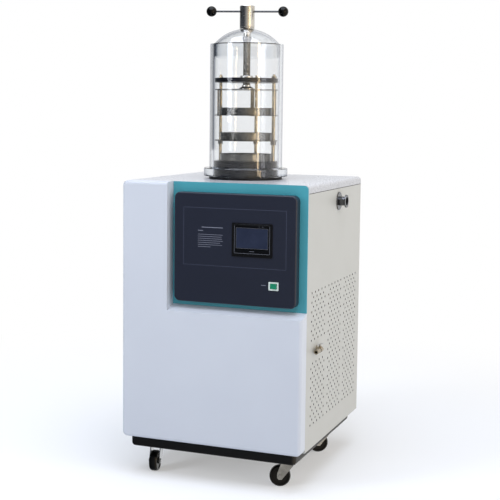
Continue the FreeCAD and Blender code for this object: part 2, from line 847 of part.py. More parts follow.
def side_panel(label, side):
    """A folded side skin, perforated in three blocks of staggered holes.

    Hundreds of holes are too many for a sketch or a pattern, so the sheet is one face with its
    holes as inner wires, extruded to its thickness, and its shape is set directly.
    """
    low_y = (front_d + joint_gap).value
    high_y = (body_d - skin_t - joint_gap).value
    low_z = body_z.value
    high_z = (seam_z - joint_gap).value
    inner_x = (half_w - skin_t).value
    start_x = inner_x if side > 0 else -half_w.value
    corners = [(low_y, low_z), (body_d.value, low_z), (body_d.value, high_z), (low_y, high_z)]
    rim = [FreeCAD.Vector(start_x, y, z) for y, z in corners]
    wires = [Part.makePolygon(rim + rim[:1])]
    for y, z in hole_places(side > 0):
        wires.append(hole_outline(start_x, y.value, z.value))
    if side > 0:
        for y, z, pipe in ((port_y, port_z, port_pipe_r), (tap_y, body_z + tap_z, tap_neck_r)):
            centre = FreeCAD.Vector(start_x, y.value, z.value)
            ring = Part.makeCircle((pipe + joint_gap).value, centre, FreeCAD.Vector(1, 0, 0))
            wires.append(Part.Wire(ring))
    sheet_face = Part.makeFace(wires, "Part::FaceMakerBullseye")
    sheet_wall = sheet_face.extrude(FreeCAD.Vector(skin_t.value, 0, 0))
    fold_x = inner_x - flange_w.value if side > 0 else -inner_x
    folds = []
    for y in (low_y, high_y - skin_t.value):
        corner = FreeCAD.Vector(fold_x, y, low_z)
        folds.append(Part.makeBox(flange_w.value, skin_t.value, high_z - low_z, corner))
    bores = []
    for x, z in screw_places():
        if x.value * side > 0:
            start = FreeCAD.Vector(x.value, high_y - skin_t.value * 2, z.value)
            bore_r = ((screw_d + joint_gap) / 2).value
            bores.append(Part.makeCylinder(bore_r, screw_length.value, start, FreeCAD.Vector(0, 1, 0)))
    folds[1] = folds[1].cut(bores)
    panel = doc.addObject("Part::Feature", label)
    panel.Label = label
    panel.Shape = sheet_wall.fuse(folds)
    nodes.append(panel)
    place(panel, mid_x, front_y, 0)


def rear_panel():
    """The flat rear skin with two columns of vent slots and the cutout of the mains inlet."""
    body = cabinet_body("rear_panel")
    height = seam_z - joint_gap - body_z
    width = (half_w - skin_t - joint_gap) * 2
    sheet_face = sketch_on(body, "XZ", -(body_d - skin_t))
    box_outline(sheet_face, as_size(0), body_z + height / 2, width, height)
    pad(body, sheet_face, skin_t, reverse=True)
    cuts = sketch_on(body, "XZ", -body_d)
    box_outline(cuts, inlet_x, body_z + inlet_z, inlet_w - inlet_ear * 2, inlet_h - inlet_lap * 2)
    for x, z in screw_places():
        circle(cuts, x, z, screw_d / 2 + joint_gap / 2)
    pocket(body, cuts, skin_t * 2, reverse=True)
    slots = sketch_on(body, "XZ", -body_d)
    for side in (-1, 1):
        x = side * (vent_w + vent_gap) / 2
        box_outline(slots, x, body_z + vent_z, vent_w, vent_h, vent_h / 2.5)
    slot = pocket(body, slots, skin_t * 2, reverse=True)
    rise_pattern(body, slot, vent_rows, vent_pitch)


def panel_screws():
    """Pan-head screws of the rear panel."""
    body = cabinet_body("panel_screws")
    shanks = sketch_on(body, "XZ", -body_d)
    heads = sketch_on(body, "XZ", -body_d)
    for x, z in screw_places():
        circle(shanks, x, z, screw_d / 2)
        circle(heads, x, z, screw_head_d / 2)
    pad(body, heads, screw_head_t, reverse=True)
    pad(body, shanks, screw_length)
    tips = body_d + screw_head_t
    round_edges(body, lambda edge: lies_at(edge, "y", tips), screw_head_t * 0.6)


def front_panel():
    """The L-shaped moulded front: a column at the left and a sill below the recess."""
    body = cabinet_body("front_panel")
    face = sketch_on(body, "XZ")
    rounded(face, [
        (-half_w, body_z), (half_w, body_z), (half_w, sill_back_z), (recess_x, sill_back_z),
        (recess_x, top_z), (-half_w, top_z),
    ], [corner_r, corner_r, 0, 0, 0, corner_r])
    pad(body, face, front_d, reverse=True)

    def front_rim(edge):
        beside_recess = spans(edge, "x")[0] > recess_x.value - 0.01
        above_sill = spans(edge, "z")[0] > sill_back_z.value - 0.01
        return lies_at(edge, "y", as_size(0)) and not (beside_recess and above_sill)

    round_edges(body, front_rim, front_r)
    slope = sketch_on(body, "YZ", recess_x)
    polygon(slope, [(0, sill_front_z), (front_step, sill_back_z), (0, sill_back_z)])
    pocket(body, slope, half_w - recess_x, reverse=True)
    hollow = sketch_on(body, "XZ", -front_d)
    inner_x = half_w - front_t
    inner_low = body_z + front_t
    inner_r = corner_r - front_t
    rounded(hollow, [
        (-inner_x, inner_low), (inner_x, inner_low), (inner_x, sill_front_z - front_t),
        (recess_x - front_t, sill_front_z - front_t), (recess_x - front_t, top_z - front_t),
        (-inner_x, top_z - front_t),
    ], [inner_r, inner_r, 0, 0, 0, inner_r])
    pocket(body, hollow, front_d - front_t, reverse=True)
    relief = sketch_on(body, "YZ", recess_x)
    polygon(relief, [
        (front_t, sill_front_z - front_t), (front_d, sill_front_z - front_t),
        (front_d, sill_back_z - front_t), (front_step, sill_back_z - front_t),
    ])
    pocket(body, relief, half_w - front_t - recess_x, reverse=True)


def bezel_panel():
    """The flat plate in the recess, which carries the control fascia."""
    body = cabinet_body("bezel_panel")
    face = sketch_on(body, "XZ", -front_step)
    left = recess_x + joint_gap
    low = sill_back_z + joint_gap
    rounded(face, [(left, low), (half_w, low), (half_w, top_z), (left, top_z)], [0, 0, corner_r, 0])
    pad(body, face, bezel_t, reverse=True)
    window_w = fascia_w - window_inset * 2
    window_h = fascia_h - window_inset * 2
    window = sketch_on(body, "XZ", -front_step)
    box_outline(window, fascia_x, fascia_z, window_w, window_h)
    pocket(body, window, bezel_t)


def top_cover():
    """The white lid: rounded along the sides and the rear, with the opening of the cold trap."""
    body = cabinet_body("top_cover")
    low_y = front_d + joint_gap
    depth = body_d - low_y
    middle_y = low_y + depth / 2
    outer = sketch_on(body, "XY", seam_z)
    box_outline(outer, as_size(0), middle_y, body_w, depth)
    pad(body, outer, lid_h)
    inner = sketch_on(body, "XY", seam_z)
    box_outline(inner, as_size(0), middle_y, body_w - cover_t * 2, depth - cover_t * 2)
    pocket(body, inner, lid_h - cover_t, reverse=True)
    ceiling = top_z - cover_t
    front_wall = low_y + cover_t

    def inner_rim(edge):
        return lies_at(edge, "z", ceiling) and not lies_at(edge, "y", front_wall)

    def upper_rim(edge):
        return lies_at(edge, "z", top_z) and not lies_at(edge, "y", low_y)

    round_edges(body, inner_rim, lid_r - cover_t)
    round_edges(body, upper_rim, lid_r)
    opening = sketch_on(body, "XY", top_z)
    circle(opening, 0, chamber_y, trap_r + joint_gap)
    pocket(body, opening, cover_t * 2)


# ---------------------------------------------------------------------------
# Controls
# ---------------------------------------------------------------------------

def control_fascia():
    """The dark moulded cover on the bezel, with a fine sunk border and two cutouts."""
    body = cabinet_body("control_fascia")
    outer = sketch_on(body, "XZ", -fascia_face_y)
    box_outline(outer, fascia_x, fascia_z, fascia_w, fascia_h, fascia_r)
    pad(body, outer, fascia_d, reverse=True)
    round_edges(body, lambda edge: lies_at(edge, "y", fascia_face_y), fascia_edge_r)
    inner = sketch_on(body, "XZ", -front_step)
    inner_w = fascia_w - fascia_t * 2
    inner_h = fascia_h - fascia_t * 2
    box_outline(inner, fascia_x, fascia_z, inner_w, inner_h, fascia_r - fascia_t)
    pocket(body, inner, fascia_d - fascia_t, reverse=True)
    border_w = fascia_w - border_inset * 2
    border = sketch_on(body, "XZ", -fascia_face_y)
    for inset in (0, border_line):
        box_outline(border, fascia_x, border_z, border_w - inset * 2, border_h - inset * 2)
    pocket(body, border, border_depth)
    cutouts = sketch_on(body, "XZ", -fascia_face_y)
    box_outline(cutouts, screen_x, screen_z, screen_w - screen_lap * 2, screen_h - screen_lap * 2)
    box_outline(cutouts, switch_x, switch_z, switch_w - switch_lap * 2, switch_h - switch_lap * 2)
    pocket(body, cutouts, fascia_t)


def screen_housing():
    """The touch screen's case: a rim on the fascia and a box behind it."""
    body = cabinet_body("screen_housing")
    rim_face = fascia_face_y - screen_proud
    rim = sketch_on(body, "XZ", -rim_face)
    box_outline(rim, screen_x, screen_z, screen_w, screen_h, screen_r)
    pad(body, rim, screen_proud, reverse=True)
    case = sketch_on(body, "XZ", -fascia_face_y)
    inset = screen_lap * 2 + joint_gap * 2
    box_outline(case, screen_x, screen_z, screen_w - inset, screen_h - inset)
    pad(body, case, screen_depth, reverse=True)
    seat = sketch_on(body, "XZ", -rim_face)
    box_outline(seat, screen_x, screen_z, glass_w, glass_h, edge_round)
    pocket(body, seat, glass_t)


def screen_glass():
    """The touch glass, laid in the screen's rim."""
    body = cabinet_body("screen_glass")
    sheet_face = sketch_on(body, "XZ", -(fascia_face_y - screen_proud + joint_gap / 2))
    play = joint_gap * 2
    corner = edge_round - joint_gap
    box_outline(sheet_face, screen_x, screen_z, glass_w - play, glass_h - play, corner)
    pad(body, sheet_face, glass_t - joint_gap / 2, reverse=True)


def switch_frame():
    """The white frame of the mains rocker, with two blind holes for the rocker's pins."""
    body = cabinet_body("switch_frame")
    rim_face = fascia_face_y - switch_rim
    rim = sketch_on(body, "XZ", -rim_face)
    box_outline(rim, switch_x, switch_z, switch_w, switch_h, edge_round)
    pad(body, rim, switch_rim, reverse=True)
    case = sketch_on(body, "XZ", -fascia_face_y)
    inset = switch_lap * 2 + joint_gap * 2
    box_outline(case, switch_x, switch_z, switch_w - inset, switch_h - inset)
    pad(body, case, switch_depth, reverse=True)
    well = sketch_on(body, "XZ", -rim_face)
    width = rocker_w + rocker_play * 2
    box_outline(well, switch_x, switch_z, width, rocker_h + joint_gap * 2)
    pocket(body, well, rocker_w * 0.6)
    hole_reach = rocker_h / 2 + rocker_pin_l + joint_gap / 3
    pin_holes = sketch_on(body, "XY", switch_z - hole_reach)
    circle(pin_holes, switch_x, fascia_face_y + rocker_sink, rocker_pin_r + running_fit)
    pocket(body, pin_holes, hole_reach * 2, reverse=True)


def switch_rocker():
    """The green rocker. Its local Z is the pivot, and it rests with its left end pressed."""
    body = new_body("switch_rocker")
    pivot_y = front_y + fascia_face_y + rocker_sink
    place(body, mid_x + switch_x, pivot_y, switch_z - rocker_h / 2, -rocker_tilt)
    half = rocker_w / 2
    back = rocker_peak + rocker_pin_r
    section = sketch_on(body, "XY")
    polygon(section, [
        (-half, -back), (0, -rocker_peak), (half, -back), (half, rocker_peak * 0.35),
        (0, rocker_peak + rocker_sink / 2), (-half, rocker_peak * 0.35),
    ])
    pad(body, section, rocker_h)
    pins = sketch_on(body, "XY", -rocker_pin_l)
    circle(pins, 0, 0, rocker_pin_r)
    pad(body, pins, rocker_h + rocker_pin_l * 2)


def control_box():
    """The folded steel box of the electronics, open towards the bezel's window, which it laps."""
    body = cabinet_body("control_box")
    face = sketch_on(body, "XZ", -(front_d + joint_gap))
    width = fascia_w - window_inset * 2 + control_lap * 2
    box_outline(face, fascia_x, fascia_z, width, control_h)
    pad(body, face, control_d, reverse=True)
    inside = sketch_on(body, "XZ", -(front_d + joint_gap))
    box_outline(inside, fascia_x, fascia_z, width - skin_t * 2, control_h - skin_t * 2)
    pocket(body, inside, control_d - skin_t)


def power_inlet():
    """The mains inlet: a flanged socket with three flat contacts."""
    body = cabinet_body("power_inlet")
    middle_z = body_z + inlet_z
    flange = sketch_on(body, "XZ", -body_d)
    box_outline(flange, inlet_x, middle_z, inlet_w, inlet_h, edge_round * 2)
    pad(body, flange, rear_reach, reverse=True)
    case_w = inlet_w - inlet_ear * 2 - joint_gap * 2
    case_h = inlet_h - inlet_lap * 2 - joint_gap * 2
    case = sketch_on(body, "XZ", -body_d)
    box_outline(case, inlet_x, middle_z, case_w, case_h)
    pad(body, case, inlet_case_d)
    mouth = sketch_on(body, "XZ", -(body_d + rear_reach))
    box_outline(mouth, inlet_x, middle_z, case_w - inlet_wall * 2, case_h - inlet_wall * 2, edge_round)
    pocket(body, mouth, inlet_mouth_d, reverse=True)
    contacts = sketch_on(body, "XZ", -(body_d + rear_reach - inlet_mouth_d))
    for number in (-1, 0, 1):
        lift = edge_round if number == 0 else -edge_round
        box_outline(contacts, inlet_x + contact_pitch * number, middle_z + lift, contact_w, contact_h)
    pad(body, contacts, contact_l, reverse=True)


# ---------------------------------------------------------------------------
# Cold trap and what is wound round it.
# Chamber bodies have their local origin on the chamber's axis, level with the cabinet's top.
# ---------------------------------------------------------------------------

def chamber_body(label, turn=0):
    body = new_body(label)
    place(body, mid_x, axis_y, top_z, turn)
    return body


def cold_trap():
    """The drawn steel bucket: a collar above the lid, a rim on the lid and a drain spout."""
    body = chamber_body("cold_trap")
    inner_r = trap_r - trap_t
    floor = -trap_depth
    spout_bore = spout_r - trap_t
    turned(body, [
        (spout_bore, floor - spout_h), (spout_r, floor - spout_h), (spout_r, floor), (trap_r, floor),
        (trap_r, 0), (rim_r, 0), (rim_r, rim_t), (trap_r, rim_t), (trap_r, collar_h),
        (inner_r, collar_h), (inner_r, floor + trap_t), (spout_bore, floor + trap_t),
    ])
    outlet = sketch_on(body, "YZ")
    circle(outlet, port_y - chamber_y, -port_drop, port_bore_r - 1)
    pocket(body, outlet, trap_r, reverse=True)


def evaporator_coil():
    """Copper rings soldered round the bucket and linked by a riser; their section has eight sides."""
    body = chamber_body("evaporator_coil")
    ring_r = trap_r + joint_gap + coil_tube_r
    rings = sketch_on(body, "XZ")
    for number in range(coil_rings):
        height = -coil_top - coil_pitch * number
        corners = []
        for side in range(coil_sides):
            outwards, upwards = around(coil_tube_r, 360 / coil_sides * side)
            corners.append((ring_r + outwards, height + upwards))
        polygon(rings, corners)
    revolve(body, rings)
    riser = sketch_on(body, "XY", coil_low_z)
    circle(riser, 0, -ring_r, coil_tube_r * 0.9)
    pad(body, riser, coil_pitch * (coil_rings - 1))


def trap_insulation():
    """The foam jacket round the bucket and its coil, with ways for the port and the drain."""
    body = chamber_body("trap_insulation")
    inner_r = trap_r + joint_gap * 2 + coil_tube_r * 2
    outer_r = inner_r + foam_t
    floor = -trap_depth - joint_gap
    drain_r = spout_r + joint_gap + hose_t + joint_gap
    turned(body, [
        (drain_r, floor - foam_t), (outer_r, floor - foam_t), (outer_r, -foam_top),
        (inner_r, -foam_top), (inner_r, floor), (drain_r, floor),
    ])
    way = sketch_on(body, "YZ")
    circle(way, port_y - chamber_y, -port_drop, port_pipe_r + joint_gap)
    pocket(body, way, outer_r, reverse=True)


# ---------------------------------------------------------------------------
# Vacuum port and drain tap. Their local Z points out of the right side, and their local X down.
# ---------------------------------------------------------------------------

def side_body(label, y, z):
    body = new_body(label)
    place(body, mid_x, front_y + y, z, 90, (0, 1, 0))
    return body


def vacuum_pipe():
    """The port pipe, from the trap's wall to a clamp flange with a seat for a centring ring."""
    body = side_body("vacuum_pipe", port_y, port_z)
    end = right_end
    rim = end - port_flange_t
    cone = port_flange_r - port_pipe_r
    start = trap_r * 0.5
    turned(body, [
        (port_bore_r, start), (port_pipe_r, start), (port_pipe_r, rim - cone * 0.27),
        (port_flange_r, rim + cone * 0.27), (port_flange_r, end), (port_seat_r, end),
        (port_seat_r, end - port_seat_d), (port_bore_r, end - port_seat_d),
    ])
    saddle = sketch_on(body, "YZ", -port_pipe_r * 2)
    circle(saddle, chamber_y - port_y, 0, trap_r + joint_gap / 2)
    pocket(body, saddle, port_pipe_r * 4, reverse=True)


def port_escutcheon():
    """The chrome cover ring round the port, flat on the panel."""
    body = side_body("port_escutcheon", port_y, port_z)
    face = half_w + escutcheon_t
    turned(body, [
        (port_pipe_r + joint_gap, half_w), (escutcheon_r, half_w), (escutcheon_r, face - 1),
        (escutcheon_r - 1, face), (port_pipe_r + joint_gap, face),
    ])


def drain_valve():
    """The drain tap: a tail for the hose, a neck, a barrel and a nozzle that points forward."""
    body = side_body("drain_valve", tap_y, body_z + tap_z)
    shank_end = half_w - tap_shank
    collar_face = half_w + tap_collar_t
    turned(body, [
        (tap_bore_r, tap_end_x), (spout_r, tap_end_x), (spout_r, shank_end), (tap_neck_r, shank_end),
        (tap_neck_r, half_w), (tap_collar_r, half_w), (tap_collar_r, collar_face),
        (tap_neck_r, collar_face), (tap_neck_r, tap_middle), (tap_bore_r, tap_middle),
    ])
    barrel = sketch_on(body, "XZ", -tap_barrel_l / 2)
    circle(barrel, 0, tap_middle, tap_barrel_r)
    pad(body, barrel, tap_barrel_l)
    nozzle = sketch_on(body, "XZ", tap_barrel_l / 2)
    circle(nozzle, 0, tap_middle, tap_nozzle_r)
    pad(body, nozzle, tap_nozzle_l)
    boss = sketch_on(body, "YZ", -tap_barrel_r - tap_boss_h)
    circle(boss, 0, tap_middle, tap_boss_r)
    pad(body, boss, tap_barrel_r)
    inlet_bore = sketch_on(body, "XY", shank_end)
    circle(inlet_bore, 0, 0, tap_bore_r)
    pocket(body, inlet_bore, tap_middle - shank_end, reverse=True)
    outlet_bore = sketch_on(body, "XZ", tap_barrel_l / 2 + tap_nozzle_l)
    circle(outlet_bore, 0, tap_middle, tap_bore_r)
    pocket(body, outlet_bore, tap_barrel_l / 2 + tap_nozzle_l)


def drain_lever():
    """The tap's lever. Its local Z is the stem, and the arm points to the rear at rest."""
    body = new_body("drain_lever")
    boss_top = body_z + tap_z + tap_barrel_r + tap_boss_h
    place(body, mid_x + tap_middle, front_y + tap_y, boss_top + joint_gap)
    stem = sketch_on(body, "XY")
    circle(stem, 0, 0, lever_stem_r)
    pad(body, stem, lever_stem_h)
    arm = sketch_on(body, "XY", lever_stem_h)
    box_outline(arm, as_size(0), (lever_l - lever_w) / 2, lever_w, lever_l, lever_w * 0.45)
    pad(body, arm, lever_t)


def pipe_run(points, radius, bore_radius, bend):
    """A tube along straight runs joined by arcs that are tangent to them."""
    vectors = [FreeCAD.Vector(*point) for point in points]
    edges = []
    start = vectors[0]
    for number in range(1, len(vectors) - 1):
        corner = vectors[number]
        back = (vectors[number - 1] - corner).normalize()
        ahead = (vectors[number + 1] - corner).normalize()
        half_angle = back.getAngle(ahead) / 2
        reach = bend / math.tan(half_angle)
        arc_start = corner + back * reach
        arc_end = corner + ahead * reach
        towards = (back + ahead).normalize()
        arc_middle = corner + towards * (bend / math.sin(half_angle) - bend)
        edges.append(Part.LineSegment(start, arc_start).toShape())
        edges.append(Part.Arc(arc_start, arc_middle, arc_end).toShape())
        start = arc_end
    edges.append(Part.LineSegment(start, vectors[-1]).toShape())
    path = Part.Wire(edges)
    heading = vectors[1] - vectors[0]
    walls = []
    for ring_radius in (radius, bore_radius):
        ring = Part.Wire(Part.makeCircle(ring_radius, vectors[0], heading))
        walls.append(path.makePipeShell([ring], True, False))
    return walls[0].cut(walls[1])


def pipe_node(label, shape):
    """A node whose shape is a bent pipe, in the frame of the cabinet."""
    node = doc.addObject("Part::Feature", label)
    node.Label = label
    node.Shape = shape
    nodes.append(node)
    place(node, mid_x, front_y, 0)


def drain_pipe():
    """The hose from the trap's spout down to the tail of the tap."""
    spout_end = (top_z - trap_depth - spout_h).value
    tail_z = (body_z + tap_z).value
    tail_x = tap_end_x.value
    bore = (spout_r + joint_gap / 2).value
    points = [
        (0, chamber_y.value, spout_end + spout_h.value * 0.7),
        (0, chamber_y.value, tail_z + hose_bend_r.value),
        (tail_x - hose_bend_r.value * 2, tap_y.value, tail_z),
        (tail_x + tap_tail.value * 0.7, tap_y.value, tail_z),
    ]
    pipe_node("drain_pipe", pipe_run(points, bore + hose_t.value, bore, hose_bend_r.value))


# ---------------------------------------------------------------------------
# Refrigeration, standing on the deck
# ---------------------------------------------------------------------------

def compressor():
    """The hermetic compressor: a domed can on a foot plate with four grommets and two stubs."""
    body = new_body("compressor")
    place(body, mid_x + compressor_x, front_y + compressor_y, deck_z)
    grommets = sketch_on(body, "XY")
    for side in (-1, 1):
        for end in (-1, 1):
            circle(grommets, side * compressor_r * 0.9, end * compressor_r * 0.6, grommet_r)
    pad(body, grommets, grommet_h)
    foot = sketch_on(body, "XY", grommet_h)
    box_outline(foot, as_size(0), as_size(0), compressor_r * 2.1, compressor_r * 1.5, grommet_r * 0.8)
    pad(body, foot, foot_plate_t)
    shoulder = compressor_r * 0.3
    toe = compressor_r * 0.2
    top = compressor_can_z + compressor_h
    turned(body, [
        (0, compressor_can_z), (compressor_r - toe * 0.75, compressor_can_z),
        (compressor_r, compressor_can_z + toe), (compressor_r, top - shoulder),
        (compressor_r * 0.86, top - shoulder * 0.4), (compressor_r * 0.55, top), (0, top),
    ])
    stubs = sketch_on(body, "XY", top - stub_proud / 2)
    for side in (-1, 1):
        circle(stubs, side * compressor_r * 0.4, 0, pipe_r * 1.2)
    pad(body, stubs, stub_proud * 1.5)


def condenser_block():
    """The finned condenser behind the right panel, on two feet."""
    body = cabinet_body("condenser_block")
    block = sketch_on(body, "YZ", condenser_x)
    box_outline(block, condenser_y, condenser_z + condenser_h / 2, condenser_w, condenser_h)
    pad(body, block, condenser_d)
    feet = sketch_on(body, "XY", deck_z)
    for side in (-1, 1):
        y = condenser_y + side * (condenser_w - condenser_foot_w) / 2
        box_outline(feet, condenser_x + condenser_d / 2, y, condenser_d, condenser_foot_w)
    pad(body, feet, condenser_lift + 1)
    grooves = sketch_on(body, "XY", condenser_z)
    for number in range(1, fin_groups):
        y = condenser_y - condenser_w / 2 + condenser_w / fin_groups * number
        x = condenser_x + condenser_d - fin_groove_d / 2
        box_outline(grooves, x, y, fin_groove_d + joint_gap, fin_groove_w)
    pocket(body, grooves, condenser_h, reverse=True)


def fan_shroud():
    """The sheet hood between the fan and the condenser, with a round opening."""
    body = cabinet_body("fan_shroud")
    back_x = condenser_x - joint_gap - shroud_d
    high = condenser_z + condenser_h - deck_z
    middle_z = deck_z + high / 2
    outer = sketch_on(body, "YZ", back_x)
    box_outline(outer, condenser_y, middle_z, condenser_w, high)
    pad(body, outer, shroud_d)
    hollow = sketch_on(body, "YZ", back_x + cover_t)
    box_outline(hollow, condenser_y, middle_z, condenser_w - cover_t * 2, high - cover_t * 2)
    pocket(body, hollow, shroud_d, reverse=True)
    opening = sketch_on(body, "YZ", back_x)
    circle(opening, condenser_y, condenser_z + condenser_h / 2, fan_r + fan_gap)
    pocket(body, opening, cover_t, reverse=True)


def fan_body(label):
    """A body whose local Z runs along the fan's shaft, from the shroud's back to the condenser."""
    body = new_body(label)
    x = mid_x + condenser_x - joint_gap - shroud_d
    place(body, x, front_y + condenser_y, condenser_z + condenser_h / 2, 90, (0, 1, 0))
    return body


def fan_motor():
    """The fan's motor on its flat bracket bar, with the shaft through the opening."""
    body = fan_body("fan_motor")
    back = -fan_bar_t - joint_gap
    bar = sketch_on(body, "XY", back)
    box_outline(bar, as_size(0), as_size(0), fan_bar_w, condenser_w - fan_bar_w / 3)
    pad(body, bar, fan_bar_t)
    case = sketch_on(body, "XY", back - fan_motor_l)
    circle(case, 0, 0, fan_motor_r)
    pad(body, case, fan_motor_l)
    shaft = sketch_on(body, "XY", -joint_gap)
    circle(shaft, 0, 0, fan_shaft_r)
    pad(body, shaft, fan_hub_l + fan_stand + joint_gap)


def fan_blade():
    """The axial fan: a bored hub and its pitched blades."""
    body = fan_body("fan_blade")
    hub = sketch_on(body, "XY", fan_stand)
    circle(hub, 0, 0, fan_hub_r)
    circle(hub, 0, 0, fan_shaft_r + running_fit)
    pad(body, hub, fan_hub_l)
    middle = fan_stand + fan_hub_l / 2
    root = sketch_on(body, "YZ", fan_hub_r - blade_t)
    blade_section(root, middle, blade_root, blade_rise)
    tip = sketch_on(body, "YZ", fan_r)
    blade_section(tip, middle, blade_tip, blade_rise)
    blade = body.newObject("PartDesign::AdditiveLoft", "Blade")
    blade.Profile = root
    blade.Sections = [tip]
    doc.recompute()
    pattern = body.newObject("PartDesign::PolarPattern", "PolarPattern")
    pattern.Originals = [blade]
    pattern.Axis = (hub, ["N_Axis"])
    pattern.Angle = 360
    pattern.Occurrences = fan_blades
    body.Tip = pattern


def blade_section(sketch, middle, half_chord, rise):
    """A thin slanted strip across the fan's radius."""
    polygon(sketch, [
        (-half_chord, middle - rise), (half_chord, middle + rise - blade_t),
        (half_chord, middle + rise), (-half_chord, middle - rise + blade_t),
    ])


def refrigerant_pipes():
    """Suction, discharge and liquid lines between compressor, condenser and coil."""
    radius = pipe_r.value
    foam_r = (trap_r + joint_gap * 4 + coil_tube_r * 2 + foam_t).value
    stub_z = (deck_z + compressor_can_z + compressor_h + stub_proud + joint_gap).value
    middle_y = compressor_y.value
    trap_y = chamber_y.value
    suction_x = (compressor_x - compressor_r * 0.4).value
    discharge_x = (compressor_x + compressor_r * 0.4).value
    coil_z = (top_z + coil_low_z).value
    condenser_top = (condenser_z + condenser_h + joint_gap).value
    header_x = (condenser_x + condenser_d * 0.35).value
    header_y = (condenser_y + condenser_w * 0.25).value
    liquid_y = (condenser_y - condenser_w * 0.25).value
    high_z = condenser_top + pipe_rise.value
    suction = [
        (-foam_r, trap_y, coil_z), (suction_x, trap_y, coil_z),
        (suction_x, middle_y, coil_z - suction_drop.value), (suction_x, middle_y, stub_z),
    ]
    discharge = [
        (discharge_x, middle_y, stub_z), (discharge_x, middle_y, high_z),
        (header_x, header_y, high_z), (header_x, header_y, condenser_top),
    ]
    liquid = [
        (header_x, liquid_y, condenser_top), (header_x, trap_y, coil_z),
        (foam_r, trap_y, coil_z),
    ]
    bore = pipe_bore_r.value
    bend = pipe_bend_r.value
    runs = [pipe_run(points, radius, bore, bend) for points in (suction, discharge, liquid)]
    pipe_node("refrigerant_pipes", Part.makeCompound(runs))


# ---------------------------------------------------------------------------
# Chamber: gasket, clear bell and dome
# ---------------------------------------------------------------------------

skirt_r = bell_bore_r - joint_gap / 3
dome_r = (skirt_r * skirt_r + dome_rise * dome_rise) / (dome_rise * 2)
dome_centre_z = crown_z - dome_r


def base_gasket():
    """The black rubber ring between the trap's rim and the bell's flange."""
    body = chamber_body("base_gasket")
    inner_r = trap_r + joint_gap * 4
    turned(body, [(inner_r, rim_t), (bell_r, rim_t), (bell_r, gasket_top), (inner_r, gasket_top)])


def chamber_cylinder():
    """The clear tube with its thick flange."""
    body = chamber_body("chamber_cylinder")
    flange_top = gasket_top + bell_flange_t
    turned(body, [
        (bell_bore_r, gasket_top), (bell_flange_r - 1, gasket_top), (bell_flange_r, gasket_top + 1),
        (bell_flange_r, flange_top - 2), (bell_flange_r - 2, flange_top), (bell_r + 2, flange_top),
        (bell_r, flange_top + 2), (bell_r, bell_top), (bell_bore_r, bell_top),
    ])


def chamber_dome():
    """The blown dome: a shallow cap on a skirt that fits inside the tube's mouth."""
    body = chamber_body("chamber_dome")
    section = sketch_on(body, "XZ")
    skirt_low = bell_top - skirt_h
    inner_wall = skirt_r - dome_t
    inner_dome_r = dome_r - dome_t
    bore = gland_r + joint_gap / 3

    def height_on(radius, x):
        return dome_centre_z + square_root(radius * radius - x * x)

    outer_start = (skirt_r, height_on(dome_r, skirt_r))
    outer_end = (bore, height_on(dome_r, bore))
    inner_start = (bore, height_on(inner_dome_r, bore))
    inner_end = (inner_wall, height_on(inner_dome_r, inner_wall))
    corners = [
        (skirt_r, skirt_low), outer_start, outer_end, inner_start, inner_end, (inner_wall, skirt_low),
    ]
    vectors = [FreeCAD.Vector(x.value, z.value, 0) for x, z in corners]
    centre = FreeCAD.Vector(0, dome_centre_z.value, 0)
    straight = [(5, 0), (0, 1), (2, 3), (4, 5)]
    lines = {}
    for start, end in straight:
        line = Part.LineSegment(vectors[start], vectors[end])
        lines[(start, end)] = section.addGeometry(line, False)
    arcs = {}
    for right, left, radius in ((1, 2, dome_r), (4, 3, inner_dome_r)):
        ring = Part.Circle(centre, FreeCAD.Vector(0, 0, 1), radius.value)
        angles = []
        for number in (right, left):
            offset = vectors[number] - centre
            angles.append(math.atan2(offset.y, offset.x))
        arc = section.addGeometry(Part.ArcOfCircle(ring, angles[0], angles[1]), False)
        fix(section, "DistanceX", arc, 3, 0)
        fix(section, "DistanceY", arc, 3, dome_centre_z)
        hold_radius(section, arc, radius)
        arcs[(right, left)] = arc
    joins = [
        (lines[(5, 0)], 2, lines[(0, 1)], 1), (lines[(0, 1)], 2, arcs[(1, 2)], 1),
        (arcs[(1, 2)], 2, lines[(2, 3)], 1), (lines[(2, 3)], 2, arcs[(4, 3)], 2),
        (arcs[(4, 3)], 1, lines[(4, 5)], 1), (lines[(4, 5)], 2, lines[(5, 0)], 1),
    ]
    for first, first_end, second, second_end in joins:
        section.addConstraint(Sketcher.Constraint("Coincident", first, first_end, second, second_end))
    section.addConstraint(Sketcher.Constraint("Horizontal", lines[(5, 0)]))
    for upright in ((0, 1), (2, 3), (4, 5)):
        section.addConstraint(Sketcher.Constraint("Vertical", lines[upright]))
    fix(section, "DistanceY", lines[(0, 1)], 1, skirt_low)
    fix(section, "DistanceX", lines[(0, 1)], 1, skirt_r)
    fix(section, "DistanceX", lines[(2, 3)], 1, bore)
    fix(section, "DistanceX", lines[(4, 5)], 2, inner_wall)
    revolve(body, section)


def dome_gland():
    """The steel gland in the dome's crown, which the handle's spindle turns in."""
    body = chamber_body("dome_gland")
    bore = spindle_r + running_fit
    turned(body, [
        (bore, crown_z - gland_drop), (gland_r, crown_z - gland_drop), (gland_r, crown_z),
        (hub_r, crown_z), (hub_r, crown_z + gland_rim_t), (bore, crown_z + gland_rim_t),
    ])


# ---------------------------------------------------------------------------
# Handle: hub with its spindle, cross bar and two balls
# ---------------------------------------------------------------------------

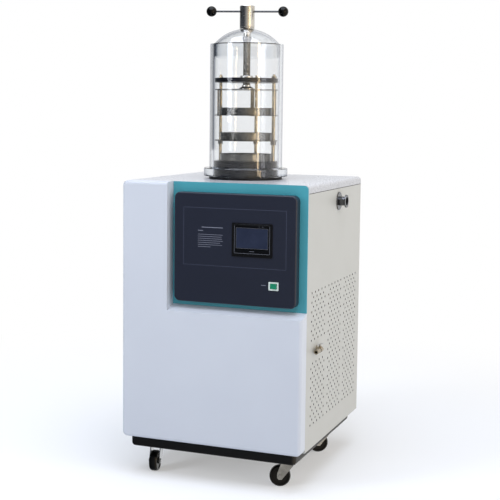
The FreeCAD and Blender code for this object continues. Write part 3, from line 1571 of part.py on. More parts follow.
def handle_hub():
    """The turned hub and, below it, the spindle that drops into the press screw."""
    body = chamber_body("handle_hub", handle_turn)
    hub_top = hub_z + hub_h
    turned(body, [
        (0, spindle_end), (spindle_r - 1, spindle_end), (spindle_r, spindle_end + 1),
        (spindle_r, hub_z), (hub_r - hub_chamfer, hub_z), (hub_r, hub_z + hub_chamfer),
        (hub_r, hub_top - hub_chamfer), (hub_r - hub_chamfer, hub_top), (0, hub_top),
    ])
    cross_hole = sketch_on(body, "YZ", -hub_r)
    circle(cross_hole, 0, bar_z, bar_r + running_fit)
    pocket(body, cross_hole, hub_r * 2, reverse=True)


def handle_bar():
    """The cross bar, pressed into the hub and into both balls."""
    body = chamber_body("handle_bar", handle_turn)
    section = sketch_on(body, "YZ", -bar_half)
    circle(section, 0, bar_z, bar_r)
    pad(body, section, bar_half * 2)


def handle_balls():
    """The two black balls, each with a blind hole for the bar and its seam turned away from it."""
    body = chamber_body("handle_balls", handle_turn)
    seam_turn = FreeCAD.Rotation(FreeCAD.Vector(0, 0, 1), 90)
    for side in (-1, 1):
        ball = body.newObject("PartDesign::AdditiveSphere", "Ball")
        ball.Placement = FreeCAD.Placement(FreeCAD.Vector(0, 0, 0), seam_turn)
        ball.setExpression("Radius", ball_r.formula)
        ball.setExpression(".Placement.Base.x", (bar_half * side).formula)
        ball.setExpression(".Placement.Base.z", bar_z.formula)
    reach = bar_half + joint_gap
    holes = sketch_on(body, "YZ", -reach)
    circle(holes, 0, bar_z, bar_r + running_fit)
    pocket(body, holes, reach * 2, reverse=True)


# ---------------------------------------------------------------------------
# Rack, press and trays
# ---------------------------------------------------------------------------

def rod_places():
    return [around(rod_ring_r, angle) for angle in rod_angles]


def turned_box(sketch, radius, angle, thickness, width):
    """A small rectangle at a radius, square to it: outwards thickness, across width."""
    corners = []
    for outwards, across in ((0, -0.5), (1, -0.5), (1, 0.5), (0, 0.5)):
        x, y = around(radius + thickness * outwards, angle)
        step_x, step_y = around(width * across, angle + 90)
        corners.append((x + step_x, y + step_y))
    polygon(sketch, corners)


def rack_base_plate():
    """The thick plate on the trap's collar, with a ring of vapour holes and a spigot below."""
    body = chamber_body("rack_base_plate")
    spigot_r = trap_r - trap_t - slide_gap
    spigot_z = collar_h - rack_spigot_h
    turned(body, [
        (rack_centre_r, spigot_z), (spigot_r, spigot_z), (spigot_r, collar_h), (trap_r, collar_h),
        (trap_r, rack_base_top - 1), (trap_r - 1, rack_base_top), (rack_centre_r, rack_base_top),
    ])
    hole = sketch_on(body, "XY", rack_base_top)
    x, y = around(rod_ring_r, vapour_hole_turn)
    circle(hole, x, y, vapour_hole_r)
    cut = pocket(body, hole, rack_base_t + rack_spigot_h)
    turn_pattern(body, cut, vapour_holes, 360)


def rack_rods():
    """Three rods, stepped down where they pass through the top plate."""
    body = chamber_body("rack_rods")
    lower = sketch_on(body, "XY", rack_base_top)
    upper = sketch_on(body, "XY", rack_top_z)
    for x, y in rod_places():
        circle(lower, x, y, rod_r)
        circle(upper, x, y, rod_end_r)
    pad(body, lower, rack_top_z - rack_base_top)
    pad(body, upper, rack_top_t + rod_end_h)


def rack_top_plate():
    """The thick upper plate that carries the screw's nut."""
    body = chamber_body("rack_top_plate")
    outline = sketch_on(body, "XY", rack_top_z)
    circle(outline, 0, 0, plate_r)
    circle(outline, 0, 0, screw_r + joint_gap)
    for x, y in rod_places():
        circle(outline, x, y, rod_end_r + running_fit)
    pad(body, outline, rack_top_t)
    round_edges(body, lambda edge: spans(edge, "x")[1] > plate_r.value - 0.1, 1)


def screw_nut():
    """The flanged nut of the press screw, on the top plate."""
    body = chamber_body("screw_nut")
    top = rack_top_face + screw_nut_h
    bore = screw_r + joint_gap
    turned(body, [
        (bore, rack_top_face), (screw_nut_r, rack_top_face), (screw_nut_r, top - 2),
        (screw_nut_r - 2, top), (bore, top),
    ])


def rod_nuts():
    """Hexagon nuts on the rods' ends."""
    body = chamber_body("rod_nuts")
    outline = sketch_on(body, "XY", rack_top_face)
    corner_reach = nut_across / math.sqrt(3)
    for x, y in rod_places():
        corners = []
        for number in range(6):
            step_x, step_y = around(corner_reach, 60 * number)
            corners.append((x + step_x, y + step_y))
        polygon(outline, corners)
        circle(outline, x, y, rod_end_r + running_fit)
    pad(body, outline, nut_h)


def slotted_plate(body, z, rod_play, with_slots):
    """A thin round plate with holes for the rods and, where it hangs, slots for the hangers."""
    outline = sketch_on(body, "XY", z)
    circle(outline, 0, 0, plate_r)
    for x, y in rod_places():
        circle(outline, x, y, rod_r + rod_play)
    if with_slots:
        slot_t = hanger_t + joint_gap
        slot_w = hanger_w + joint_gap
        for angle in rod_angles:
            turned_box(outline, hanger_r - joint_gap / 2, angle + hanger_turn, slot_t, slot_w)
    pad(body, outline, shelf_t)


def press_plate():
    """The thin plate under the foot, which the upper shelf hangs from."""
    slotted_plate(chamber_body("press_plate"), press_z, slide_gap, True)


def shelf_1():
    """The upper shelf, hung from the press plate."""
    slotted_plate(chamber_body("shelf_1"), shelf_1_z, slide_gap, True)


def shelf_2():
    """The lower shelf, clamped on the rods with three sleeves."""
    body = chamber_body("shelf_2")
    slotted_plate(body, shelf_2_z, running_fit, False)
    sleeves = sketch_on(body, "XY", shelf_2_z - sleeve_h)
    for x, y in rod_places():
        circle(sleeves, x, y, sleeve_r)
        circle(sleeves, x, y, rod_r + running_fit)
    pad(body, sleeves, sleeve_h)


def shelf_hangers():
    """Three folded strips: through both plates, with a tab over the upper and under the lower."""
    body = chamber_body("shelf_hangers")
    low = shelf_1_z - hanger_t
    high = press_seat_z + hanger_t
    strips = sketch_on(body, "XY", low)
    upper_tabs = sketch_on(body, "XY", high - hanger_t)
    lower_tabs = sketch_on(body, "XY", low)
    for angle in rod_angles:
        turned_box(strips, hanger_r, angle + hanger_turn, hanger_t, hanger_w)
        for tabs in (upper_tabs, lower_tabs):
            tab_reach = hanger_tab + hanger_t / 3
            turned_box(tabs, hanger_r - hanger_tab, angle + hanger_turn, tab_reach, hanger_w)
    pad(body, strips, high - low)
    pad(body, upper_tabs, hanger_t)
    pad(body, lower_tabs, hanger_t)


def tray(label, z):
    """A round steel tray with a straight wall and a rolled rim."""
    body = chamber_body(label)
    top = z + tray_h
    rim_low = top - tray_t * 2
    lip_r = tray_r + tray_lip
    inner_r = tray_r - tray_t
    turned(body, [
        (0, z), (tray_r - tray_round, z), (tray_r, z + tray_round), (tray_r, rim_low),
        (lip_r, rim_low), (lip_r, top), (inner_r, top), (inner_r, z + tray_t * 2),
        (inner_r - tray_t, z + tray_t), (0, z + tray_t),
    ])


def press_foot():
    """The foot on the press plate, with the blind bore that the screw's pivot turns in."""
    body = chamber_body("press_foot")
    rim_z = press_seat_z + foot_rim_t
    neck_z = rim_z + foot_slope_h
    foot_top = press_seat_z + foot_h
    bore_low = press_seat_z + foot_web_t
    bore = pivot_r + running_fit
    turned(body, [
        (0, press_seat_z), (foot_r, press_seat_z), (foot_r, rim_z), (foot_neck_r, neck_z),
        (foot_neck_r, foot_top), (bore, foot_top), (bore, bore_low), (0, bore_low),
    ])


def press_screw():
    """The screw: a pivot in the foot, the threaded shaft, and the socket of the spindle."""
    body = chamber_body("press_screw")
    pivot_low = press_seat_z + foot_web_t + joint_gap
    shaft_low = press_seat_z + foot_h + joint_gap
    socket_top = screw_top + socket_h
    bore = spindle_r + slide_gap
    bore_low = spindle_end - spindle_room
    turned(body, [
        (0, pivot_low), (pivot_r, pivot_low), (pivot_r, shaft_low), (screw_r, shaft_low),
        (screw_r, screw_top), (socket_r, screw_top + socket_cone_h), (socket_r, socket_top),
        (bore + 2, socket_top), (bore, socket_top - 2), (bore, bore_low), (0, bore_low),
    ])


# ---------------------------------------------------------------------------
# Casters. A fork's and a wheel's local origin is on the floor, under the swivel.
# ---------------------------------------------------------------------------

casters = [
    ("front_left", -1, caster_front_y, caster_turn_front_left),
    ("front_right", 1, caster_front_y, caster_turn_front_right),
    ("rear_left", -1, caster_rear_y, caster_turn_rear_left),
    ("rear_right", 1, caster_rear_y, caster_turn_rear_right),
]
race_z = caster_h - caster_plate_t - race_h
fork_top_z = race_z - joint_gap
wheel_r = wheel_d / 2
leg_y = wheel_w / 2 + fork_gap


def caster_plates():
    """Four bolted top plates, each with its raised race and kingpin."""
    body = cabinet_body("caster_plates")
    kingpin_l = fork_t + joint_gap + kingpin_proud
    plates = sketch_on(body, "XY", caster_h - caster_plate_t)
    races = sketch_on(body, "XY", race_z)
    kingpins = sketch_on(body, "XY", race_z - kingpin_l)
    for name, side, y, turn in casters:
        x = caster_x * side
        box_outline(plates, x, y, caster_plate_w, caster_plate_w, race_h)
        circle(races, x, y, race_r)
        circle(kingpins, x, y, kingpin_r)
    pad(body, plates, caster_plate_t)
    pad(body, races, race_h)
    pad(body, kingpins, kingpin_l + race_h / 2)


def caster_fork(name, side, y, turn):
    """A pressed fork: a crown round the kingpin, two tapered legs and the riveted axle."""
    body = new_body(f"caster_fork_{name}")
    place(body, mid_x + caster_x * side, front_y + y, 0, turn)
    crown = sketch_on(body, "XY", fork_top_z - fork_t)
    circle(crown, 0, 0, race_r + fork_lip)
    circle(crown, 0, 0, kingpin_r + running_fit)
    pad(body, crown, fork_t)
    outer_y = leg_y + fork_t
    leg_half = race_r - fork_lip
    foot_z = wheel_r - axle_land
    for leg_side in (-1, 1):
        near = leg_y if leg_side > 0 else -outer_y
        leg = sketch_on(body, "XZ", -near)
        polygon(leg, [
            (-wheel_trail - axle_land, foot_z + axle_land * 0.6), (-wheel_trail - axle_land / 2, foot_z),
            (-wheel_trail + axle_land / 2, foot_z), (-wheel_trail + axle_land, foot_z + axle_land * 0.6),
            (leg_half, fork_top_z - fork_t * 2), (leg_half, fork_top_z), (-leg_half, fork_top_z),
            (-wheel_trail - axle_land, wheel_r + axle_land),
        ])
        pad(body, leg, fork_t, reverse=True)
    axle = sketch_on(body, "XZ", -outer_y - 1)
    circle(axle, -wheel_trail, wheel_r, axle_r)
    pad(body, axle, outer_y * 2 + 2)
    for head_side in (-1, 1):
        head = sketch_on(body, "XZ", -outer_y if head_side > 0 else outer_y)
        circle(head, -wheel_trail, wheel_r, axle_r + rivet_head)
        pad(body, head, rivet_head, reverse=head_side > 0)


def caster_wheel(name, side, y, turn):
    """A solid black wheel with a domed tread; its local Z is the axle."""
    body = new_body(f"caster_wheel_{name}")
    across, along = around(wheel_trail, turn)
    place(body, mid_x + caster_x * side - across, front_y + y - along, wheel_r)
    tilt = FreeCAD.Rotation(FreeCAD.Vector(0, 0, 1), turn.value)
    upright = FreeCAD.Rotation(FreeCAD.Vector(1, 0, 0), 90)
    body.Placement = FreeCAD.Placement(body.Placement.Base, tilt * upright)
    half = wheel_w / 2
    web = half - wheel_dish
    tyre_foot = wheel_r - tyre_h
    near_side = [
        (axle_r + running_fit, half + wheel_hub_proud), (wheel_hub_r, half + wheel_hub_proud),
        (wheel_hub_r, web), (tyre_foot - wheel_dish, web), (tyre_foot, half),
        (wheel_r - tyre_round, half), (wheel_r - tyre_round * 0.2, half - tyre_round * 1.3),
        (wheel_r, half / 3),
    ]
    far_side = [(radius, -height) for radius, height in reversed(near_side)]
    turned(body, near_side + far_side)


# ---------------------------------------------------------------------------
# Build, check and write every node
# ---------------------------------------------------------------------------

def build_all():
    base_frame()
    inner_frame()
    side_panel("left_side_panel", -1)
    side_panel("right_side_panel", 1)
    rear_panel()
    panel_screws()
    front_panel()
    bezel_panel()
    top_cover()
    control_fascia()
    screen_housing()
    screen_glass()
    switch_frame()
    switch_rocker()
    control_box()
    power_inlet()
    cold_trap()
    evaporator_coil()
    trap_insulation()
    vacuum_pipe()
    port_escutcheon()
    drain_valve()
    drain_lever()
    drain_pipe()
    compressor()
    condenser_block()
    fan_shroud()
    fan_motor()
    fan_blade()
    refrigerant_pipes()
    base_gasket()
    chamber_cylinder()
    chamber_dome()
    dome_gland()
    handle_hub()
    handle_bar()
    handle_balls()
    rack_base_plate()
    rack_rods()
    rack_top_plate()
    screw_nut()
    rod_nuts()
    press_plate()
    press_foot()
    press_screw()
    shelf_hangers()
    shelf_1()
    shelf_2()
    tray("tray_1", shelf_1_z + shelf_t)
    tray("tray_2", shelf_2_z + shelf_t)
    tray("tray_3", rack_base_top)
    caster_plates()
    for caster in casters:
        caster_fork(*caster)
        caster_wheel(*caster)


def check_all():
    doc.recompute()
    for thing in doc.Objects:
        if "Invalid" in thing.State or "Error" in thing.State:
            raise ValueError(f"{thing.Label} failed to build")
    for node in nodes:
        if node.Shape.isNull() or not node.Shape.isValid() or not node.Shape.Solids:
            raise ValueError(f"{node.Label} has no sound shape")


def write_all():
    os.makedirs("parts", exist_ok=True)
    for node in nodes:
        node.Shape.exportStep(f"parts/{node.Label}.step")
        bounds = node.Shape.BoundBox
        print(f"{node.Label}: {len(node.Shape.Solids)} solid(s), "
              f"{bounds.XLength:.1f} x {bounds.YLength:.1f} x {bounds.ZLength:.1f} mm")


build_all()
check_all()
write_all()
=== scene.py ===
# %% [markdown]
# # A laboratory freeze dryer
#
# A freeze dryer takes the water out of frozen samples under vacuum. Vapour leaves the samples on
# the trays, and freezes again on the cold wall of a steel bucket below them. The clear bell on top
# keeps the air out, and the cabinet holds the refrigeration.
#
# The solids come from the CAD model. This lesson dresses them: it gives every piece the finish of
# its real material, and it adds what is too thin or too fine for CAD, such as print, the screen's
# picture and the painted shadow in the seam under the lid.

# %% Load the solids
import math

import bmesh
import bpy
from mathutils import Matrix, Vector


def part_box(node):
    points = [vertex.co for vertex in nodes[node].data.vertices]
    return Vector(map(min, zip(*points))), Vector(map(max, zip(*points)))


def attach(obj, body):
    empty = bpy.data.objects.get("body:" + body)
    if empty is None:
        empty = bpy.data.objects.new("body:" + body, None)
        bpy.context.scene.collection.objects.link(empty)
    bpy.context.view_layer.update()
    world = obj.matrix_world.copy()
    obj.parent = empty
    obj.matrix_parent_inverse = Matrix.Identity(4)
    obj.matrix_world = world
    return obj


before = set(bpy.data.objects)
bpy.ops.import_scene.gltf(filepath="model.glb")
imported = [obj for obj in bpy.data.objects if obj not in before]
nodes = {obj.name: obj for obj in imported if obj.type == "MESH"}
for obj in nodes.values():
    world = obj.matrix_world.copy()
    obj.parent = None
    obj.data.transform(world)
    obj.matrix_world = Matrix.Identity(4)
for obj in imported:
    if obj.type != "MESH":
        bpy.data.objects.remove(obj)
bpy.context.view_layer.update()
print("solids loaded:", len(nodes))

# %% [markdown]
# ## Units and places
#
# A drawing of this machine is in millimetres, and Blender's scene is in metres, so `mm` turns one
# into the other. Everything added later is placed from a corner or the middle of a solid, so these
# three are all that is needed.

# %% Units and places
def mm(length):
    return length / 1000


def low(node):
    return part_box(node)[0]


def high(node):
    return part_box(node)[1]


def middle(node):
    return (low(node) + high(node)) / 2


# %% [markdown]
# ## Colour
#
# Paint makers and screens give colours as sRGB hex values. Blender's shaders work in linear light,
# so each hex value goes through one function that undoes the screen's curve.

# %% Hex colour to linear light
def paint(hex_colour):
    channels = [int(hex_colour[start:start + 2], 16) / 255 for start in (1, 3, 5)]
    linear = [c / 12.92 if c <= 0.04045 else ((c + 0.055) / 1.055) ** 2.4 for c in channels]
    return (*linear, 1.0)


print("mid grey #808080 in linear light:", round(paint("#808080")[0], 3))

# %% [markdown]
# ## Nodes
#
# A material is a small network of nodes. One function adds any node: its own settings are keyword
# arguments, and its sockets come as a dictionary, where a value can be a number, a colour or the
# output of another node, which is then linked. A mix node keeps the sockets of its colour mode
# behind those of its other modes, so they go by number, and the numbers get names here.

# %% One function that adds a node
FIRST_COLOUR, SECOND_COLOUR, MIXED_COLOUR = 6, 7, 2


def add(tree, kind, sockets, **settings):
    node = tree.nodes.new(kind)
    for name, value in settings.items():
        setattr(node, name, value)
    for name, value in sockets.items():
        if isinstance(value, bpy.types.NodeSocket):
            tree.links.new(value, node.inputs[name])
        else:
            node.inputs[name].default_value = value
    return node


def empty_material(name):
    material = bpy.data.materials.new(name)
    material.use_nodes = True
    material.node_tree.nodes.clear()
    return material


def per_metre(size_mm):
    """The scale of a pattern whose features are this many millimetres across."""
    return 1000 / size_mm


print("a pattern of 2 mm grains has scale", per_metre(2))

# %% [markdown]
# ## Powder-coated steel
#
# The side, rear and top sheets are steel with a baked powder coat. Powder melts into a skin with a
# faint orange-peel texture, its waves 1 to 3 mm across and a few hundredths of a millimetre deep, so
# highlights break up softly. The binder is a polymer: IOR about 1.5, not metallic. The waves are
# drawn 4 mm wide so that they show at this distance. A second noise, about as wide as a spread hand,
# lets the tone drift a little, because no spray gun lays the same depth everywhere.

# %% Powder coat
spray_drift_mm = 160
peel_depth = mm(0.03)


def powder_coat(name, colour, shade, roughness, peel_mm=4.0):
    material = empty_material(name)
    tree = material.node_tree
    place = add(tree, "ShaderNodeTexCoord", {}).outputs["Object"]
    drift = add(tree, "ShaderNodeTexNoise", {
        "Vector": place,
        "Scale": per_metre(spray_drift_mm),
        "Detail": 2.0,
    })
    peel = add(tree, "ShaderNodeTexNoise", {"Vector": place, "Scale": per_metre(peel_mm), "Detail": 2.0})
    tone = add(tree, "ShaderNodeMix", {
        "Factor": drift.outputs["Fac"],
        FIRST_COLOUR: paint(colour),
        SECOND_COLOUR: paint(shade),
    }, data_type="RGBA")
    gloss = add(tree, "ShaderNodeMapRange", {
        "Value": peel.outputs["Fac"],
        "To Min": roughness - 0.06,
        "To Max": roughness + 0.06,
    })
    waves = add(tree, "ShaderNodeBump", {
        "Height": peel.outputs["Fac"],
        "Distance": peel_depth,
        "Strength": 0.3,
    })
    shader = add(tree, "ShaderNodeBsdfPrincipled", {
        "Base Color": tone.outputs[MIXED_COLOUR],
        "Roughness": gloss.outputs["Result"],
        "Normal": waves.outputs["Normal"],
        "IOR": 1.5,
    })
    add(tree, "ShaderNodeOutputMaterial", {"Surface": shader.outputs["BSDF"]})
    return material


warm_grey = ("#bbbdbb", "#b3b5b2", 0.40)
warm_grey_coat = powder_coat("warm_grey_powder_coat", *warm_grey)
pale_coat = powder_coat("pale_blue_powder_coat", "#babdc3", "#b4b7be", 0.28)
teal_coat = powder_coat("teal_powder_coat", "#4aa3b4", "#4399aa", 0.36)
black_coat = powder_coat("black_powder_coat", "#090a0b", "#0d0e10", 0.5, 3.0)
# The frame and the control box are grey, and are set darker than their paint: painted shade seen through the
# holes.
frame_coat_and_shade = powder_coat("grey_powder_coat", "#3f4245", "#393c40", 0.5)
print("materials with the powder coats:", len(bpy.data.materials))

# %% [markdown]
# The front shell is a moulded skin with the same kind of paint in a cooler grey. It is smoother than
# the sheets, so the waves of its peel are longer, which makes their slopes gentler.

# %% Cool grey paint of the front shell
cool_grey_paint = powder_coat("cool_grey_paint", "#c9d0dc", "#c3cad7", 0.36, 7.0)
print("front shell paint:", cool_grey_paint.name)

# %% [markdown]
# ## Perforated sides
#
# The side sheets are punched first and coated afterwards. Each side starts from the powder coat.
# More than a few tenths of a millimetre below the outer face, inside each hole and on the inner
# side, a dark tone is mixed in before the colour reaches the shader. This is painted shade, for the
# shadow in the holes and behind the sheet. A margin keeps the folded edges in the coat's colour.

# %% Painted shade inside the holes
painted_shade_depth = mm(0.3)
fold_margin = mm(18)


def perforated_coat(node, outer_x):
    material = powder_coat(f"{node}_coat", *warm_grey)
    tree = material.node_tree
    place = add(tree, "ShaderNodeTexCoord", {}).outputs["Object"]
    parts = add(tree, "ShaderNodeSeparateXYZ", {"Vector": place})
    inward = add(tree, "ShaderNodeMath", {0: parts.outputs["X"], 1: outer_x}, operation="SUBTRACT")
    depth = add(tree, "ShaderNodeMath", {0: inward.outputs[0]}, operation="ABSOLUTE")
    painted_shade = add(tree, "ShaderNodeMath", {0: depth.outputs[0], 1: painted_shade_depth}, operation="GREATER_THAN")
    spans = {"Y": (low(node).y, high(node).y), "Z": (low(node).z, high(node).z)}
    for axis, (start, end) in spans.items():
        field = add(tree, "ShaderNodeMath", {
            0: parts.outputs[axis],
            1: (start + end) / 2,
            2: (end - start) / 2 - fold_margin,
        }, operation="COMPARE")
        painted_shade = add(tree, "ShaderNodeMath", {
            0: painted_shade.outputs[0],
            1: field.outputs[0],
        }, operation="MULTIPLY")
    shader = tree.nodes["Principled BSDF"]
    coat = shader.inputs["Base Color"].links[0].from_socket
    # The dark tone is painted shade: it darkens the holes and the sheet's inner side.
    tone = add(tree, "ShaderNodeMix", {
        "Factor": painted_shade.outputs[0],
        FIRST_COLOUR: coat,
        SECOND_COLOUR: paint("#1d2426"),
    }, data_type="RGBA")
    tree.links.new(tone.outputs[MIXED_COLOUR], shader.inputs["Base Color"])
    return material


side_coats = {
    "left_side_panel": perforated_coat("left_side_panel", low("left_side_panel").x),
    "right_side_panel": perforated_coat("right_side_panel", high("right_side_panel").x),
}
print("coated and punched sides:", len(side_coats))

# %% [markdown]
# ## Stainless steel
#
# The rack, the trays and the bucket are austenitic stainless steel. A metal reflects its colour, so
# its base colour is its tint and metallic is 1. Rolled and brushed sheet keeps fine scratches in
# one direction: a noise squeezed hard along one axis draws them. Turned parts carry rings instead,
# which is the same noise, stretched round the axis. A broad cloud mixes a second tone in, where
# handling and heat have dulled the surface. Brushing also stretches highlights across the
# scratches, which is what the anisotropy does.
#
# The other metals use the same nodes. The casters are coated with zinc, which freezes in pale and
# dark patches, called spangle, that run in no direction: their grain is coarse and nearly even, and
# they have no anisotropy. The port and the handle's bar are polished, so they are smooth and have
# none either.

# %% Brushed, turned and drawn metal
def brushed_metal(name, grain, colour, shade, roughness, anisotropy=0.4):
    material = empty_material(name)
    tree = material.node_tree
    place = add(tree, "ShaderNodeTexCoord", {}).outputs["Object"]
    stretched = add(tree, "ShaderNodeMapping", {"Vector": place, "Scale": grain})
    scratches = add(tree, "ShaderNodeTexNoise", {
        "Vector": stretched.outputs["Vector"],
        "Scale": 1.0,
        "Detail": 4.0,
    })
    cloud = add(tree, "ShaderNodeTexNoise", {"Vector": place, "Scale": per_metre(45), "Detail": 3.0})
    tone = add(tree, "ShaderNodeMix", {
        "Factor": cloud.outputs["Fac"],
        FIRST_COLOUR: paint(colour),
        SECOND_COLOUR: paint(shade),
    }, data_type="RGBA")
    gloss = add(tree, "ShaderNodeMapRange", {
        "Value": scratches.outputs["Fac"],
        "To Min": roughness - 0.1,
        "To Max": roughness + 0.14,
    })
    lines = add(tree, "ShaderNodeBump", {
        "Height": scratches.outputs["Fac"],
        "Distance": mm(0.02),
        "Strength": 0.3,
    })
    shader = add(tree, "ShaderNodeBsdfPrincipled", {
        "Base Color": tone.outputs[MIXED_COLOUR],
        "Metallic": 1.0,
        "Roughness": gloss.outputs["Result"],
        "Anisotropic": anisotropy,
        "Normal": lines.outputs["Normal"],
    })
    add(tree, "ShaderNodeOutputMaterial", {"Surface": shader.outputs["BSDF"]})
    return material


along_z = (per_metre(1.5), per_metre(1.5), per_metre(60))
round_z = (per_metre(60), per_metre(60), per_metre(1.2))
along_y = (per_metre(3), per_metre(60), per_metre(3))
spangle = (per_metre(7), per_metre(7), per_metre(9))
# The sheet's dark tint is partly stainless steel's own tone and partly painted shade for the trays' dark
# reflections.
steel_sheet = brushed_metal("brushed_stainless_sheet_painted_shade", round_z, "#787672", "#5b5956", 0.2)
# The rods' warm gold tint is partly stainless steel's own tone and partly painted reflection of the warm
# room.
steel_bar = brushed_metal("drawn_stainless_bar_painted_reflection", along_z, "#b8ad98", "#8c8373", 0.2)
turned_steel = brushed_metal("turned_stainless_steel", round_z, "#dcdad6", "#b9b6b0", 0.24)
# The bucket and the rack's end plates are stainless steel. Their near black tint is painted shade under the
# bell's flange.
steel_and_painted_shade = brushed_metal("stainless_plate_painted_shade", round_z, "#1c1c21", "#15151a", 0.26)
zinc_plate = brushed_metal("zinc_plated_steel", spangle, "#e2e5e9", "#55585c", 0.26, 0.0)
polished_steel = brushed_metal("polished_stainless_steel", along_y, "#6a6b6e", "#505256", 0.12, 0.0)
chrome = brushed_metal("polished_chrome", along_z, "#d0d0d0", "#b8b8b8", 0.14, 0.0)
copper = brushed_metal("annealed_copper", along_z, "#c47c56", "#a8623f", 0.3, 0.0)
fin_stock = brushed_metal("aluminium_fins", along_y, "#a5a8aa", "#84878a", 0.4)
print("materials with the metals:", len(bpy.data.materials))

# %% [markdown]
# ## The screw's thread
#
# The press screw is a steel bar with a cut thread of 4 mm pitch. A thread is a wave that climbs one
# pitch each turn, so its phase is the height over the pitch minus the angle round the axis. As a
# bump it costs no triangles, and at this size the outline would not show it. The same wave paints
# the roots dark and the crests light, as painted shade and a painted highlight. The wave stops below
# the socket, where the bar is plain.

# %% Threaded steel
def threaded_steel(axis, pitch, top_z):
    material = empty_material("threaded_stainless_steel")
    tree = material.node_tree
    place = add(tree, "ShaderNodeTexCoord", {}).outputs["Object"]
    parts = add(tree, "ShaderNodeSeparateXYZ", {"Vector": place})
    side_x = add(tree, "ShaderNodeMath", {0: parts.outputs["X"], 1: axis.x}, operation="SUBTRACT")
    side_y = add(tree, "ShaderNodeMath", {0: parts.outputs["Y"], 1: axis.y}, operation="SUBTRACT")
    angle = add(tree, "ShaderNodeMath", {0: side_y.outputs[0], 1: side_x.outputs[0]}, operation="ARCTAN2")
    phase_per_metre = 2 * math.pi / pitch
    climb = add(tree, "ShaderNodeMath", {0: parts.outputs["Z"], 1: phase_per_metre}, operation="MULTIPLY")
    phase = add(tree, "ShaderNodeMath", {0: climb.outputs[0], 1: angle.outputs[0]}, operation="SUBTRACT")
    wave = add(tree, "ShaderNodeMath", {0: phase.outputs[0]}, operation="SINE")
    cut = add(tree, "ShaderNodeMath", {0: parts.outputs["Z"], 1: top_z}, operation="LESS_THAN")
    thread = add(tree, "ShaderNodeMath", {0: wave.outputs[0], 1: cut.outputs[0]}, operation="MULTIPLY")
    crest = add(tree, "ShaderNodeMapRange", {"Value": thread.outputs[0], "From Min": -1.0})
    # The dark root colour is painted shade, and the light crest colour is a painted highlight.
    tone = add(tree, "ShaderNodeMix", {
        "Factor": crest.outputs["Result"],
        FIRST_COLOUR: paint("#3d3b39"),
        SECOND_COLOUR: paint("#a8a49c"),
    }, data_type="RGBA")
    gloss = add(tree, "ShaderNodeMapRange", {
        "Value": crest.outputs["Result"],
        "To Min": 0.45,
        "To Max": 0.2,
    })
    ridge = add(tree, "ShaderNodeBump", {
        "Height": crest.outputs["Result"],
        "Distance": mm(0.9),
        "Strength": 0.7,
    })
    shader = add(tree, "ShaderNodeBsdfPrincipled", {
        "Base Color": tone.outputs[MIXED_COLOUR],
        "Metallic": 1.0,
        "Roughness": gloss.outputs["Result"],
        "Normal": ridge.outputs["Normal"],
    })
    add(tree, "ShaderNodeOutputMaterial", {"Surface": shader.outputs["BSDF"]})
    return material


thread_pitch = mm(4)
socket_height = mm(21)
thread_top = high("press_screw").z - socket_height
screw_steel = threaded_steel(middle("press_screw"), thread_pitch, thread_top)
print("the thread ends at z", round(thread_top * 1000), "mm")

# %% [markdown]
# ## Clear acrylic
#
# The bell is a cast acrylic tube 11 mm thick, bonded to a 25 mm flange, with a dome on top. Acrylic
# has an IOR of 1.49 and passes nearly all light, but a long path through it turns slightly
# blue-grey. That colour belongs in the volume, where it grows with the length of the path. Where the
# wall turns away from the eye, a layer weight also darkens the surface's colour to a deep blue-grey:
# painted shade that draws the tube's dark outline.

# %% Clear acrylic
def clear_acrylic():
    material = empty_material("clear_cast_acrylic")
    tree = material.node_tree
    place = add(tree, "ShaderNodeTexCoord", {}).outputs["Object"]
    haze = add(tree, "ShaderNodeTexNoise", {"Vector": place, "Scale": per_metre(30), "Detail": 3.0})
    wipe = add(tree, "ShaderNodeMapRange", {"Value": haze.outputs["Fac"], "To Min": 0.0, "To Max": 0.035})
    facing = add(tree, "ShaderNodeLayerWeight", {"Blend": 0.5})
    edge = add(tree, "ShaderNodeMapRange", {
        "Value": facing.outputs["Facing"],
        "From Min": 0.55,
        "From Max": 0.93,
    }, interpolation_type="SMOOTHERSTEP")
    # The deep blue-grey at the grazing edge is painted shade, the tube's dark outline.
    tint = add(tree, "ShaderNodeMix", {
        "Factor": edge.outputs["Result"],
        FIRST_COLOUR: paint("#fbfcfd"),
        SECOND_COLOUR: paint("#364463"),
    }, data_type="RGBA")
    surface = add(tree, "ShaderNodeBsdfPrincipled", {
        "Base Color": tint.outputs[MIXED_COLOUR],
        "Roughness": wipe.outputs["Result"],
        "Transmission Weight": 1.0,
        "IOR": 1.49,
    })
    depth = add(tree, "ShaderNodeVolumeAbsorption", {"Color": paint("#a3b2c4"), "Density": 5.0})
    add(tree, "ShaderNodeOutputMaterial", {
        "Surface": surface.outputs["BSDF"],
        "Volume": depth.outputs["Volume"],
    })
    return material


acrylic = clear_acrylic()
dome_width = high("chamber_dome").x - low("chamber_dome").x
print("dome width in mm:", round(dome_width * 1000))

# %% [markdown]
# ## Plastics and rubber
#
# The control cover, the screen's case and the switch are moulded ABS and polycarbonate. A mould is
# spark-eroded, which leaves a fine pebble on the skin. The IOR is about 1.53. The pebble is drawn
# 1.5 mm across or more, and it sits mostly in the roughness. Rubber is dark because of the carbon
# black in it, and its surface scatters light, so it is rougher. The compressor's lacquer and the
# foam jacket are made the same way: only the grain, the gloss and the tone differ. The handle's
# balls and the wheels reflect less than a clean skin would, and a lower IOR gives that.

